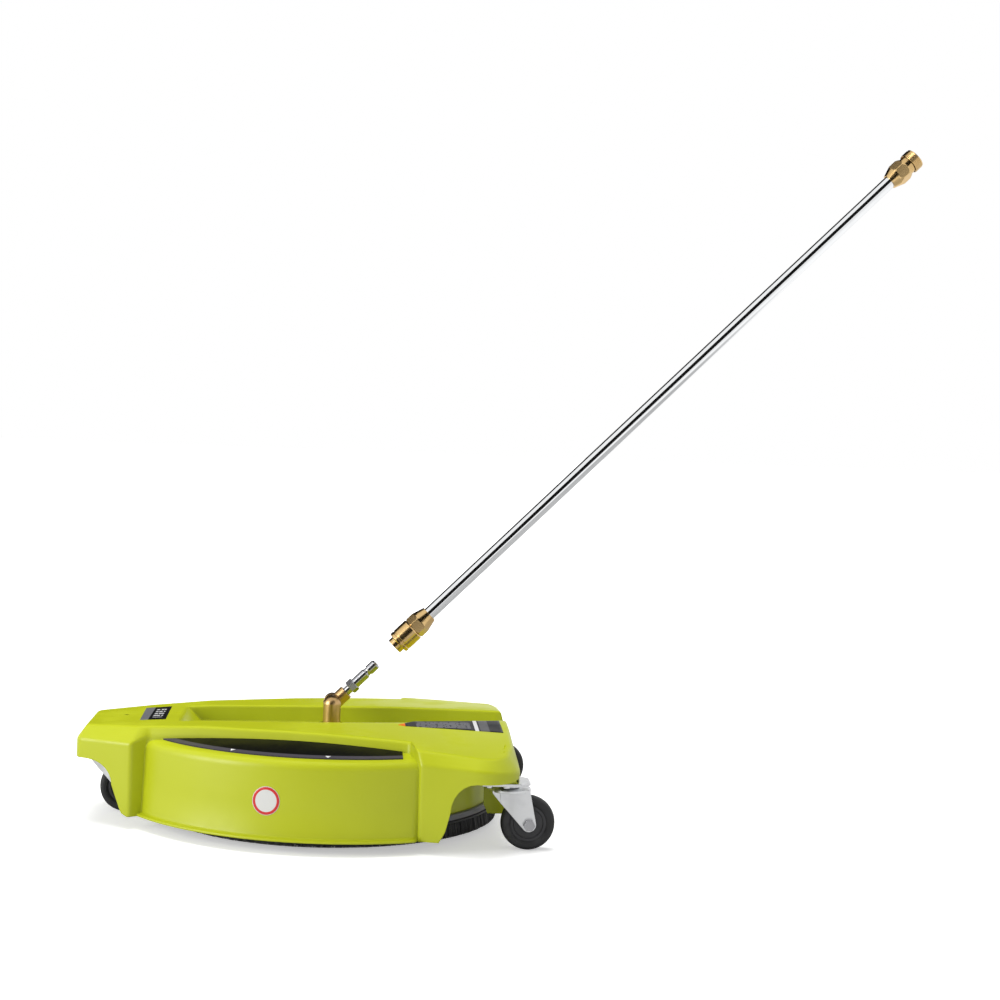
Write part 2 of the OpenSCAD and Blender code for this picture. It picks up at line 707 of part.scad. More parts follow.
// A round wire wound along a helix
module helix(r, wire, pitch, turns, sides = 6, steps = 20) {
    rise = atan(pitch / (2 * PI * r));
    loft([
        for (i = [0:turns * steps]) let (a = 360 * i / steps) [
            for (j = [0:sides - 1])
                let (b = 360 * j / sides, out = r + wire / 2 * cos(b), up = wire / 2 * sin(b))
                [
                    out * cos(a) + up * sin(rise) * sin(a), out * sin(a) - up * sin(rise) * cos(a),
                    pitch * i / steps + up * cos(rise)
                ]
        ]
    ], fan(0, sides - 1));
}
module coupler_spring() {
    foot_s = coupler_s + ring_len + collar_len - spring_turns * spring_pitch - spring_wire / 2 - 0.1;
    color(steel) along_wand(foot_s)
        helix(spring_r, spring_wire, spring_pitch, spring_turns);
}
module coupler_balls() {
    color(steel) along_wand(coupler_s + ball_s) for (i = [0:ball_count - 1]) rotate(i * 360 / ball_count)
        translate([coupler_bore / 2 + ball_d / 2 + 0.05, 0, 0]) sphere(d = ball_d, $fn = 24);
}
module coupler_seal() {
    color(seal_black) along_wand(coupler_s + socket_len - 5)
        ring(coupler_bore / 2 + 1.1, coupler_bore / 2 + 0.1, 1.6);
}
module wand_tube() {
    color(chrome) along_wand(tube_s) difference() {
        cylinder(d = tube_d, h = fitting_s + tube_in_fitting - tube_s);
        translate([0, 0, -1]) cylinder(d = tube_d - 2 * tube_wall, h = fitting_s);
    }
}
module inlet_fitting() {
    head_z = fitting_len - 9;
    neck_z = head_z - 6.5;
    color(brass) along_wand(fitting_s) difference() {
        union() {
            intersection() {
                hexagon(21.5, neck_z);
                rotate_extrude() polygon([
                    [0, 0], [8.2, 0], [12.2, 11], [12.2, neck_z - 3], [10.8, neck_z], [0, neck_z]
                ]);
            }
            translate([0, 0, neck_z - 1]) cylinder(d = 19.4, h = head_z - neck_z + 2);
            translate([0, 0, head_z]) cylinder(d = thread_d, h = fitting_len - head_z);
        }
        translate([0, 0, -1]) cylinder(d = tube_d + 2 * run_gap, h = tube_in_fitting + 1.5);
        cylinder(d = water_d, h = fitting_len);
        translate([0, 0, fitting_len - 7]) cylinder(d = 14, h = 8);
    }
}

// ---- Casters ----
axle_z = wheel_d / 2;
plate_t = 2.5;
plate_w = 40;
plate_back = 18.5;
tongue_half = 11;
plate_front = 28;
fork_top = 59;
fork_t = 2.4;
cheek_in = wheel_w / 2 + 2.2;
cheek_out = cheek_in + 2.2;
crown_r = 20;
boss_r = 6.8;
cheek_fold = 3.6;
fold_depth = 1.1;
cheek_front = -10;
cheek_rear = 18.5;
kingpin_d = 8;
module on_nose() { translate([-nose_caster_x, 0, 0]) children(); }
module on_front() { translate([tail_caster_x, -tail_caster_y, 0]) children(); }
module on_back() { translate([tail_caster_x, tail_caster_y, 0]) children(); }
// The plate of a caster; the long side points towards the drum
module caster_plate() {
    color(zinc) difference() {
        union() {
            translate([0, 0, seat_z - plate_t]) linear_extrude(plate_t) polygon([
                [-plate_front, -plate_w / 2], [plate_back - 9, -plate_w / 2], [plate_back, -tongue_half],
                [plate_back, tongue_half], [plate_back - 9, plate_w / 2], [-plate_front, plate_w / 2]
            ]);
            translate([0, 0, fork_top + air_gap]) rotate_extrude() polygon([
                [0, 0], [9, 0], [11.2, 1.4],
                [11.2, seat_z - plate_t - fork_top], [0, seat_z - plate_t - fork_top]
            ]);
        }
        cylinder(d = kingpin_d + 2 * run_gap, h = 100);
        for (p = screw_offsets) translate([p[0], p[1], 0]) cylinder(d = screw_d + 2 * loose_gap, h = 100);
    }
}
module nose_caster_plate() { on_nose() rotate(180) caster_plate(); }
module front_caster_plate() { on_front() caster_plate(); }
module back_caster_plate() { on_back() caster_plate(); }
module kingpin() {
    color(zinc) {
        cylinder_between(kingpin_d, fork_top - fork_t - 1, seat_z + 0.5);
        cylinder_between(13, fork_top - fork_t - 2.6, fork_top - fork_t - air_gap);
        cylinder_between(2 * kingpin_head_r, seat_z, seat_z + 2);
    }
}
module nose_kingpin() { on_nose() kingpin(); }
module front_kingpin() { on_front() kingpin(); }
module back_kingpin() { on_back() kingpin(); }
module caster_screws() {
    color(steel) at_casters() for (p = screw_offsets) translate([p[0], p[1], seat_z - plate_t]) {
        translate([0, 0, -2.2]) cylinder(d = 7, h = 2.2);
        cylinder(d = screw_hole_d - 0.2, h = plate_t + 10);
    }
}
// Where a line from point p touches the circle round c, on the left or right side of the line
function tangent(p, c, r, side) =
    let (d = norm(c - p), base = atan2(c[1] - p[1], c[0] - p[0]), half = asin(r / d))
    p + sqrt(d * d - r * r) * [cos(base + side * half), sin(base + side * half)];
module cheek() {
    boss = [trail, axle_z];
    front = [cheek_front, axle_z + 20.6];
    rear = [cheek_rear, fork_top - fork_t];
    difference() {
        union() {
            polygon([
                [front[0], fork_top], front, tangent(front, boss, boss_r, -1), boss,
                tangent(rear, boss, boss_r, 1), rear, [rear[0], fork_top]
            ]);
            translate(boss) circle(r = boss_r);
        }
        translate(boss) circle(d = axle_d + 2 * run_gap);
    }
}
// The fork seen from above; the sides step in towards the front
module fork_plan() {
    step = cheek_out - fold_depth;
    polygon([
        [cheek_front, -step], [cheek_fold - 3.2, -step],
        [cheek_fold, -cheek_out], [cheek_rear + 20, -cheek_out],
        [cheek_rear + 20, cheek_out], [cheek_fold, cheek_out],
        [cheek_fold - 3.2, step], [cheek_front, step]
    ]);
}
// Gusset that carries a cheek's front edge up to the crown
module gusset() {
    linear_extrude(2.6) polygon([
        [cheek_front + 1.2, fork_top - 1], [-17.5, fork_top - 1], [-17.5, fork_top - 3.4],
        [cheek_front + 1.2, axle_z + 19]
    ]);
}
module fork() {
    roof_z = fork_top - fork_t;
    color(zinc) difference() {
        union() {
            intersection() {
                union() {
                    for (s = [-1, 1]) translate([0, s > 0 ? cheek_out : -cheek_in, 0])
                        rotate([90, 0, 0]) linear_extrude(cheek_out - cheek_in) cheek();
                    translate([cheek_front, -cheek_out, roof_z])
                        cube([cheek_rear - cheek_front, 2 * cheek_out, fork_t]);
                }
                linear_extrude(100) fork_plan();
            }
            translate([0, 0, roof_z]) cylinder(r = crown_r, h = fork_t);
            for (s = [-1, 1]) translate([0, s > 0 ? 11.6 : -9, 0]) rotate([90, 0, 0]) gusset();
        }
        cylinder_between(kingpin_d + 2 * run_gap, fork_top - 5, fork_top + 1);
    }
}
module nose_fork() { on_nose() fork(); }
module front_fork() { on_front() fork(); }
module back_fork() { on_back() fork(); }
module lay_axle() { translate([trail, 0, axle_z]) rotate([90, 0, 0]) children(); }
axle_nut_h = 5;
head_h = 4;
module axle() {
    color(zinc) lay_axle() {
        translate([0, 0, -cheek_out - axle_nut_h - 1])
            cylinder(d = axle_d, h = 2 * cheek_out + axle_nut_h + 2);
        translate([0, 0, cheek_out + 0.02]) hexagon(10, head_h);
    }
}
module axle_nut() {
    color(steel) lay_axle() translate([0, 0, -cheek_out - axle_nut_h - 0.02]) difference() {
        hexagon(10, axle_nut_h);
        translate([0, 0, -1]) cylinder(d = axle_d + 2 * run_gap, h = axle_nut_h + 2);
    }
}
module nose_axle() { on_nose() axle(); }
module front_axle() { on_front() axle(); }
module back_axle() { on_back() axle(); }
module nose_axle_nut() { on_nose() axle_nut(); }
module front_axle_nut() { on_front() axle_nut(); }
module back_axle_nut() { on_back() axle_nut(); }
hub_r = 17;
hub_half = wheel_w / 2 + 1;
module wheel_hub() {
    color(soft_black) lay_axle() rotate_extrude() polygon([
        [axle_d / 2 + run_gap, -hub_half], [8, -hub_half], [8.6, -hub_half + 3],
        [14, -hub_half + 3.6], [14.6, -wheel_w / 2 + 1.5],
        [hub_r, -wheel_w / 2 + 1.5], [hub_r, wheel_w / 2 - 1.5],
        [14.6, wheel_w / 2 - 1.5], [14, hub_half - 3.6],
        [8.6, hub_half - 3], [8, hub_half], [axle_d / 2 + run_gap, hub_half]
    ]);
}
module tyre() {
    outer = wheel_d / 2;
    half = wheel_w / 2;
    round_r = 4;
    rim = outer - 0.6 - round_r;
    color(rubber) lay_axle() rotate_extrude() polygon(concat(
        [[hub_r, -half + 1.5], [hub_r + 1.5, -half + 0.4], [hub_r + 3, -half]],
        [for (a = [-90:15:-10]) [rim + round_r * cos(a), -half + round_r + round_r * sin(a)]],
        [[outer, -1], [outer, 1]],
        [for (a = [10:15:90]) [rim + round_r * cos(a), half - round_r + round_r * sin(a)]],
        [[hub_r + 3, half], [hub_r + 1.5, half - 0.4], [hub_r, half - 1.5]]
    ));
}
module nose_wheel_hub() { on_nose() wheel_hub(); }
module front_wheel_hub() { on_front() wheel_hub(); }
module back_wheel_hub() { on_back() wheel_hub(); }
module nose_tyre() { on_nose() tyre(); }
module front_tyre() { on_front() tyre(); }
module back_tyre() { on_back() tyre(); }

// ---- The whole machine stands with the middle of its length over the origin ----
wand_end_x = wand_end_s * cos(wand_angle) + (arm_drop + thread_d / 2) * sin(wand_angle);
mid_x = (wand_end_x - nose_reach) / 2;
module place() { translate([-mid_x, 0, 0]) children(); }

place() deck_shell();
place() edge_panel_front();
place() edge_panel_back();
place() spray_chamber();
place() chamber_screws();
place() brush_holder();
place() bristles_1();
place() bristles_2();
place() bristles_3();
place() bristles_4();
place() bristles_5();
place() bristles_6();
place() swivel_housing();
place() deck_washer();
place() lock_nut();
place() bearing_upper();
place() bearing_lower();
place() shaft_seal();
place() snap_ring();
place() inlet_elbow();
place() caster_screws();
place() nose_caster_plate();
place() front_caster_plate();
place() back_caster_plate();
place() nose_kingpin();
place() front_kingpin();
place() back_kingpin();
place() rotor_shaft();
place() spray_hub();
place() spray_arms();
place() spray_nozzles();
place() elbow_arm();
place() knuckle_seal();
place() quick_plug();
place() coupler_body();
place() coupler_collar();
place() coupler_spring();
place() coupler_balls();
place() coupler_seal();
place() wand_tube();
place() inlet_fitting();
place() nose_fork();
place() nose_axle();
place() nose_axle_nut();
place() nose_wheel_hub();
place() nose_tyre();
place() front_fork();
place() front_axle();
place() front_axle_nut();
place() front_wheel_hub();
place() front_tyre();
place() back_fork();
place() back_axle();
place() back_axle_nut();
place() back_wheel_hub();
place() back_tyre();
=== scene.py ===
"""Looks of a wheeled floor cleaning deck with a pull-off wand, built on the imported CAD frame.

Every size in this file is in millimetres in the deck's own frame: the spray bar's axis stands over x = 0,
+X runs from the nose to the tail, the floor is z = 0. `to_frame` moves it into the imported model's metres.
"""

import json
import logging
import math
from dataclasses import dataclass
from enum import Enum

import bmesh
import bpy
import numpy as np
from mathutils import Matrix, Vector
from mathutils.bvhtree import BVHTree

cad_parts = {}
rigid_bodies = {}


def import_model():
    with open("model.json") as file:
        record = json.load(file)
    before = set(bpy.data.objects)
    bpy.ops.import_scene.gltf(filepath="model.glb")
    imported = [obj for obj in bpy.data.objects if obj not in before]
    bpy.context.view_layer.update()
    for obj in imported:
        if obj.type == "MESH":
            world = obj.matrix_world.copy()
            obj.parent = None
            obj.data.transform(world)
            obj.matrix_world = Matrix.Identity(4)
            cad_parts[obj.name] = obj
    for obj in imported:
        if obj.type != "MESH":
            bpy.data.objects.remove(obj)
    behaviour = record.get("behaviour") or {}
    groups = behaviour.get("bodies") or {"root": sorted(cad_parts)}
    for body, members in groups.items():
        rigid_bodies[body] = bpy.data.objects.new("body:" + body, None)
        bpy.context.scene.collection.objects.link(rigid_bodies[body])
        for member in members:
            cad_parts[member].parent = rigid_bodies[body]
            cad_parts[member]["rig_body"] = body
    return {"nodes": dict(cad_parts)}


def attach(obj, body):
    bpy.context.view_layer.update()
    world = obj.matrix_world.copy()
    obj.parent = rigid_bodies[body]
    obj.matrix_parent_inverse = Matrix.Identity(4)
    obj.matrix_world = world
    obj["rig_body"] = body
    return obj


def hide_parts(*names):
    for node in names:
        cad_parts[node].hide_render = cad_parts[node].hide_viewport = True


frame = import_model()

LOG = logging.getLogger("scene")
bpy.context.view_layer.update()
MIDDLE_X = 175.967349
MM = 0.001
UPWARD = np.array([0.0, 0.0, 1.0])
WAND_ALONG = np.array([1.0, 0.0, 1.0]) / math.sqrt(2)
WAND_SIDE = np.array([-1.0, 0.0, 1.0]) / math.sqrt(2)
HINGE = np.array([0.0, 17.0, 112.5])
WAND_DROP = 2.4
BULGE_X, BULGE_OFFSET = 10.6, 59.0
WHITE, CARD_BLACK, PANEL_RIM = (1.0, 1.0, 1.0), (0.01, 0.01, 0.01), (0.06, 0.055, 0.068)
GRAIN_SCALE = 1500.0
PLASTIC_SMUDGE, PLASTIC_SCUFF = 0.15, 0.09
FLOAT = "NodeSocketFloat"
Colour = Point = tuple[float, float, float]


class Side(Enum):
    """Which side of the deck a mirrored piece is on; the value is the sign of its y."""

    FRONT = -1.0
    BACK = 1.0


class Measure(Enum):
    """What a printed band is measured by."""

    ALONG_X = "along x"
    RADIUS = "radius in plan"
    DISTANCE = "distance in space"


def to_frame(points: np.ndarray) -> np.ndarray:
    """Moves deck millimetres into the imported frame's metres.

    Args:
        points: array whose last axis is (x, y, z) in deck millimetres.

    Returns:
        The same points in metres, shifted along X by the frame's middle.
    """
    return (np.asarray(points, float) - (MIDDLE_X, 0.0, 0.0)) * MM


# ---------------------------------------------------------------- meshes


def mesh_object(
    name: str, points: np.ndarray, faces: np.ndarray | list, smooth: bool = True
) -> bpy.types.Object:
    """Puts points and faces into a new mesh object at the origin.

    Args:
        name: object name.
        points: (n, 3) deck millimetres.
        faces: (m, 3 or 4) vertex numbers, or a list of such lists.
        smooth: whether the faces shade smoothly.

    Returns:
        The linked object.
    """
    mesh = bpy.data.meshes.new(name)
    mesh.from_pydata(to_frame(points).tolist(), [], [list(map(int, f)) for f in faces])
    mesh.polygons.foreach_set("use_smooth", np.full(len(mesh.polygons), smooth))
    mesh.update()
    piece = bpy.data.objects.new(name, mesh)
    bpy.context.scene.collection.objects.link(piece)
    return piece


def grid_faces(rows: int, columns: int, close_columns: bool = False) -> np.ndarray:
    """Quads of a rows by columns grid of vertices, numbered row by row.

    Args:
        rows: number of rows.
        columns: number of vertices in a row.
        close_columns: joins the last column to the first.

    Returns:
        (m, 4) vertex numbers.
    """
    r = np.arange(rows - 1)
    c = np.arange(columns if close_columns else columns - 1)
    r, c = np.meshgrid(r, c, indexing="ij")
    r1, c1 = r + 1, (c + 1) % columns
    return np.stack([r * columns + c, r * columns + c1, r1 * columns + c1, r1 * columns + c], -1).reshape(-1, 4)


# ---------------------------------------------------------------- node groups

Sockets = bpy.types.bpy_prop_collection


class Nodes:
    """Small helper that adds and links shader nodes in one tree."""

    def __init__(self, tree: bpy.types.NodeTree) -> None:
        """Keeps the tree.

        Args:
            tree: a material's or a group's node tree.
        """
        self.tree = tree

    def add(self, kind: str, settings: dict | None = None, **inputs: object) -> bpy.types.Node:
        """Adds a node, sets its properties, then sets or links its inputs.

        Args:
            kind: bl_idname of the node.
            settings: property values by name.
            inputs: socket values by name, with spaces written as underscores; a socket value makes a link.

        Returns:
            The node.
        """
        node = self.tree.nodes.new(kind)
        for key, value in (settings or {}).items():
            setattr(node, key, value)
        for key, value in inputs.items():
            self.feed(node.inputs[key.replace("_", " ")], value)
        return node

    def feed(self, socket: bpy.types.NodeSocket, value: object) -> None:
        """Links an output to a socket, or writes a plain value on it.

        Args:
            socket: the input.
            value: an output socket, or a number, vector or colour.
        """
        if isinstance(value, bpy.types.NodeSocket):
            self.tree.links.new(value, socket)
        elif isinstance(value, tuple) and len(value) == 3 and socket.type == "RGBA":
            socket.default_value = (*value, 1.0)
        else:
            socket.default_value = value

    def math(self, operation: str, *values: object, clamp: bool = False) -> bpy.types.NodeSocket:
        """Adds a Math node.

        Args:
            operation: what the node does.
            values: its numbers or sockets, in order.
            clamp: keeps the result from 0 to 1.

        Returns:
            The node's output.
        """
        node = self.tree.nodes.new("ShaderNodeMath")
        node.operation, node.use_clamp = operation, clamp
        for socket, value in zip(node.inputs, values):
            self.feed(socket, value)
        return node.outputs[0]

    def ramp(
        self, factor: bpy.types.NodeSocket, low: float, high: float, to_low: float = 0.0, to_high: float = 1.0
    ) -> bpy.types.NodeSocket:
        """Maps factor from low..high onto to_low..to_high, clamped and smoothed.

        Args:
            factor: the value that runs.
            low: where the ramp starts.
            high: where it ends.
            to_low: result at its start.
            to_high: result at its end.

        Returns:
            The mapped value.
        """
        node = self.add("ShaderNodeMapRange", {"interpolation_type": "SMOOTHSTEP"}, Value=factor)
        limits = {"From Min": low, "From Max": high, "To Min": to_low, "To Max": to_high}
        for name, value in limits.items():
            node.inputs[name].default_value = value
        return node.outputs[0]

    def mix(self, factor: object, first: object, second: object) -> bpy.types.NodeSocket:
        """Adds a colour Mix node.

        Args:
            factor: share of the second colour.
            first: colour at 0.
            second: colour at 1.

        Returns:
            The mixed colour.
        """
        node = self.tree.nodes.new("ShaderNodeMix")
        node.data_type = "RGBA"
        for socket, value in ((0, factor), (6, first), (7, second)):
            self.feed(node.inputs[socket], value)
        return node.outputs[2]

    def noise(self, vector: object, scale: object, detail: float, roughness: float = 0.5) -> bpy.types.NodeSocket:
        """Adds a 3-D Noise node.

        Args:
            vector: where it is read.
            scale: its scale, a number or a socket.
            detail: how many finer layers it sums.
            roughness: how strong those layers are.

        Returns:
            The noise, from 0 to 1.
        """
        node = self.add("ShaderNodeTexNoise", Vector=vector, Scale=scale, Detail=detail, Roughness=roughness)
        return node.outputs["Fac"]

    def place(self) -> bpy.types.NodeSocket:
        """The Object coordinates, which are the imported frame's own metres."""
        return self.add("ShaderNodeTexCoord").outputs["Object"]

    def effect(self, tree: bpy.types.NodeTree, **inputs: object) -> bpy.types.Node:
        """Places a shared node group with its own input values."""
        return self.add("ShaderNodeGroup", {"node_tree": tree}, **inputs)

    def vector(self, operation: str, *values: object, output: int = 0) -> bpy.types.NodeSocket:
        """Adds a Vector Math node.

        Args:
            operation: what the node does.
            values: its vectors or sockets, in order.
            output: 0 for its vector, 1 for its value.

        Returns:
            The node's output.
        """
        node = self.add("ShaderNodeVectorMath", {"operation": operation})
        for socket, value in zip(node.inputs, values):
            self.feed(socket, value)
        return node.outputs[output]


def new_group(
    name: str, inputs: dict[str, tuple[str, object]], outputs: dict[str, str]
) -> tuple[bpy.types.NodeTree, Nodes, Sockets, Sockets]:
    """Makes an empty shader node group with named sockets.

    Args:
        name: the group's name.
        inputs: socket type and default by input name.
        outputs: socket type by output name.

    Returns:
        The tree, its helper, the sockets that its inputs come from and the sockets that its outputs go to.
    """
    tree = bpy.data.node_groups.new(name, "ShaderNodeTree")
    for label, (kind, default) in inputs.items():
        socket = tree.interface.new_socket(name=label, in_out="INPUT", socket_type=kind)
        socket.default_value = default
    for label, kind in outputs.items():
        tree.interface.new_socket(name=label, in_out="OUTPUT", socket_type=kind)
    nodes = Nodes(tree)
    given, made = nodes.add("NodeGroupInput").outputs, nodes.add("NodeGroupOutput").inputs
    return tree, nodes, given, made


class SharedGroups:
    """Effects that more than one finish uses, each built once as a node group."""

    def __init__(self) -> None:
        """Builds the groups."""
        self.grain = self._grain()
        self.handling = self._handling()
        self.machining = self._machining()
        self.print_lines = self._print_lines()

    @staticmethod
    def _grain() -> bpy.types.NodeTree:
        """Fine moulded or cast grain: two sizes of noise summed into a height, with a soft blotch mask.

        Returns:
            The group.
        """
        tree, n, given, made = new_group(
            "fine_grain",
            {"Fine Scale": (FLOAT, 900.0), "Coarse Scale": (FLOAT, 60.0), "Coarse Share": (FLOAT, 0.4)},
            {"Height": FLOAT, "Blotch": FLOAT},
        )
        place = n.place()
        fine, coarse = n.noise(place, given["Fine Scale"], 3.0), n.noise(place, given["Coarse Scale"], 2.0)
        n.feed(made["Height"], n.math("ADD", fine, n.math("MULTIPLY", coarse, given["Coarse Share"])))
        n.feed(made["Blotch"], n.ramp(n.noise(place, 9.0, 3.0), 0.3, 0.7))
        return tree

    @staticmethod
    def _handling() -> bpy.types.NodeTree:
        """Light use: sparse hair-thin scuffs and soft smudges, as masks.

        Returns:
            The group.
        """
        tree, n, given, made = new_group(
            "light_handling",
            {"Scuff Scale": (FLOAT, 55.0), "Smudge Scale": (FLOAT, 22.0)},
            {"Scuff": FLOAT, "Smudge": FLOAT},
        )
        place = n.place()
        stretched = n.add("ShaderNodeMapping", Vector=place, Rotation=(0.3, 0.7, 0.5), Scale=(1.0, 14.0, 1.0))
        scuff = n.noise(stretched.outputs[0], given["Scuff Scale"], 5.0, 0.7)
        n.feed(made["Scuff"], n.ramp(scuff, 0.66, 0.72))
        n.feed(made["Smudge"], n.ramp(n.noise(place, given["Smudge Scale"], 4.0, 0.6), 0.45, 0.7))
        return tree

    @staticmethod
    def _machining() -> bpy.types.NodeTree:
        """Turning marks: noise stretched along one axis, so that it runs in fine parallel rings or lines.

        Returns:
            The group.
        """
        tree, n, given, made = new_group(
            "turning_marks",
            {"Turn": ("NodeSocketVector", (0.0, 0.0, 0.0)), "Pitch": (FLOAT, 1500.0)},
            {"Height": FLOAT},
        )
        turned = n.add(
            "ShaderNodeVectorRotate", {"rotation_type": "EULER_XYZ"}, Vector=n.place(), Rotation=given["Turn"]
        )
        split = n.add("ShaderNodeSeparateXYZ", Vector=turned.outputs[0]).outputs
        x, y = (n.math("MULTIPLY", split[axis], 0.02) for axis in "XY")
        flat = n.add("ShaderNodeCombineXYZ", X=x, Y=y, Z=split["Z"])
        n.feed(made["Height"], n.noise(flat.outputs[0], given["Pitch"], 2.0))
        return tree

    @staticmethod
    def _print_lines() -> bpy.types.NodeTree:
        """Rows of short plain bars in a rectangle: stripes along X, broken by stretched noise.

        Returns:
            The group.
        """
        tree, n, given, made = new_group(
            "print_lines",
            {
                "Pitch": (FLOAT, 0.004), "From X": (FLOAT, 0.0), "To X": (FLOAT, 1.0),
                "From Y": (FLOAT, -1.0), "To Y": (FLOAT, 1.0),
            },
            {"Mask": FLOAT},
        )
        split = n.add("ShaderNodeSeparateXYZ", Vector=n.place()).outputs
        row = n.math("DIVIDE", split["Y"], given["Pitch"])
        stripe = n.math("LESS_THAN", n.math("FRACT", row), 0.5)
        cell = n.add("ShaderNodeCombineXYZ", X=n.math("MULTIPLY", split["X"], 300.0), Y=n.math("FLOOR", row))
        gap = n.noise(cell.outputs[0], 1.0, 1.0)
        mask = n.math("MULTIPLY", stripe, n.math("GREATER_THAN", gap, 0.42))
        for axis in "XY":
            for operation, limit in (("GREATER_THAN", f"From {axis}"), ("LESS_THAN", f"To {axis}")):
                mask = n.math("MULTIPLY", mask, n.math(operation, split[axis], given[limit]))
        n.feed(made["Mask"], mask)
        return tree


# ---------------------------------------------------------------- finishes


@dataclass(frozen=True)
class Finish:
    """What every finish states: its name, plain colour and plain roughness."""

    name: str
    colour: Colour
    roughness: float

    def start(self) -> tuple[bpy.types.Material, Nodes, bpy.types.Node]:
        """Makes the material with its plain Principled shader.

        Returns:
            The material, its node helper and the shader.
        """
        material = bpy.data.materials.new(self.name)
        material.use_nodes = True
        shader = material.node_tree.nodes["Principled BSDF"]
        shader.inputs["Base Color"].default_value = (*self.colour, 1.0)
        shader.inputs["Roughness"].default_value = self.roughness
        return material, Nodes(material.node_tree), shader

    def build(self, groups: SharedGroups) -> bpy.types.Material:
        """Makes the material; a finish without detail of its own stays plain.

        Args:
            groups: the shared effects; not used here.

        Returns:
            The material.
        """
        return self.start()[0]


def bump_over_bevel(
    n: Nodes, shader: bpy.types.Node, height: bpy.types.NodeSocket, strength: float, distance: float, edge: float
) -> None:
    """Feeds Normal with a bump, over a normal that rounds edges off.

    Args:
        n: node helper.
        shader: the Principled shader.
        height: bump height.
        strength: bump strength.
        distance: bump height in metres.
        edge: radius of the rounded edges in metres, or 0 for none.
    """
    bump = n.add("ShaderNodeBump", Height=height, Strength=strength, Distance=distance)
    if edge:
        n.feed(bump.inputs["Normal"], n.add("ShaderNodeBevel", {"samples": 6}, Radius=edge).outputs[0])
    n.feed(shader.inputs["Normal"], bump.outputs[0])


@dataclass(frozen=True)
class MouldedPlastic(Finish):
    """Injection-moulded plastic with a fine spark-eroded grain and slight colour variation."""

    shade: Colour = (0.0, 0.0, 0.0)
    grain: float = 0.08
    edge: float = 0.0012
    specular: float = 0.5
    ior: float = 1.5

    def build(self, groups: SharedGroups) -> bpy.types.Material:
        """Mixes the colour with its shade by a soft blotch, and roughens where hands have smudged it.

        Args:
            groups: the shared effects.

        Returns:
            The material.
        """
        material, n, shader = self.start()
        grain, marks = n.effect(groups.grain, Fine_Scale=GRAIN_SCALE).outputs, n.effect(groups.handling).outputs
        n.feed(shader.inputs["Base Color"], n.mix(grain["Blotch"], self.colour, self.shade))
        smudge = n.math("MULTIPLY", marks["Smudge"], PLASTIC_SMUDGE)
        scuff = n.math("MULTIPLY", marks["Scuff"], PLASTIC_SCUFF)
        n.feed(shader.inputs["Roughness"], n.math("ADD", n.math("ADD", self.roughness, smudge), scuff, clamp=True))
        shader.inputs["Specular IOR Level"].default_value = self.specular
        shader.inputs["IOR"].default_value = self.ior
        bump_over_bevel(n, shader, grain["Height"], self.grain, 0.0004, self.edge)
        return material


@dataclass(frozen=True)
class Metal(Finish):
    """Bare or plated metal: turned, cast or polished."""

    tarnish: Colour = (0.3, 0.2, 0.1)
    tarnish_share: float = 0.3
    turning: tuple[float, float, float] = (0.0, 0.0, 0.0)
    turned: float = 0.0
    cast: float = 0.0
    edge: float = 0.0003

    def build(self, groups: SharedGroups) -> bpy.types.Material:
        """Darkens the metal in soft patches, with turning marks or cast grain in its normal.

        Args:
            groups: the shared effects.

        Returns:
            The material.
        """
        material, n, shader = self.start()
        shader.inputs["Metallic"].default_value = 1.0
        marks = n.effect(groups.handling, Scuff_Scale=90.0, Smudge_Scale=70.0).outputs
        patch = n.math("MULTIPLY", marks["Smudge"], self.tarnish_share)
        n.feed(shader.inputs["Base Color"], n.mix(patch, self.colour, self.tarnish))
        scuffed = n.math("ADD", self.roughness, n.math("MULTIPLY", marks["Scuff"], 0.12))
        rough = n.math("ADD", scuffed, n.math("MULTIPLY", patch, 0.15), clamp=True)
        n.feed(shader.inputs["Roughness"], rough)
        if self.turned:
            lines = n.effect(groups.machining, Turn=self.turning).outputs
            bump_over_bevel(n, shader, lines["Height"], self.turned, 0.0001, self.edge)
        else:
            grain = n.effect(groups.grain, Fine_Scale=700.0 if self.cast else 2500.0).outputs
            bump_over_bevel(n, shader, grain["Height"], max(self.cast, 0.01), 0.0003, self.edge)
        return material


@dataclass(frozen=True)
class Rubber(Finish):
    """Moulded rubber: matt, with a paler dusty bloom in soft patches."""

    bloom: Colour = (0.12, 0.12, 0.12)

    def build(self, groups: SharedGroups) -> bpy.types.Material:
        """Mixes the bloom in by smudge and scuff masks over a fine grain.

        Args:
            groups: the shared effects.

        Returns:
            The material.
        """
        material, n, shader = self.start()
        grain = n.effect(groups.grain, Fine_Scale=1200.0).outputs
        marks = n.effect(groups.handling, Scuff_Scale=70.0, Smudge_Scale=45.0).outputs
        smudge, scuff = n.math("MULTIPLY", marks["Smudge"], 0.35), n.math("MULTIPLY", marks["Scuff"], 0.3)
        bloom = n.math("ADD", smudge, scuff, clamp=True)
        n.feed(shader.inputs["Base Color"], n.mix(bloom, self.colour, self.bloom))
        n.feed(shader.inputs["Roughness"], n.math("ADD", self.roughness, n.math("MULTIPLY", grain["Blotch"], 0.1)))
        bump_over_bevel(n, shader, grain["Height"], 0.15, 0.0003, 0.0005)
        return material


@dataclass(frozen=True)
class Band:
    """A printed part of a label: where a coordinate or a distance lies between two values, in deck millimetres."""

    measure: Measure
    low: float
    high: float
    colour: Colour
    centre: Point = (0.0, 0.0, 0.0)


@dataclass(frozen=True)
class PrintRows:
    """A block of short plain bars in rows, in deck millimetres."""

    pitch: float
    x: tuple[float, float]
    y: tuple[float, float]
    colour: Colour


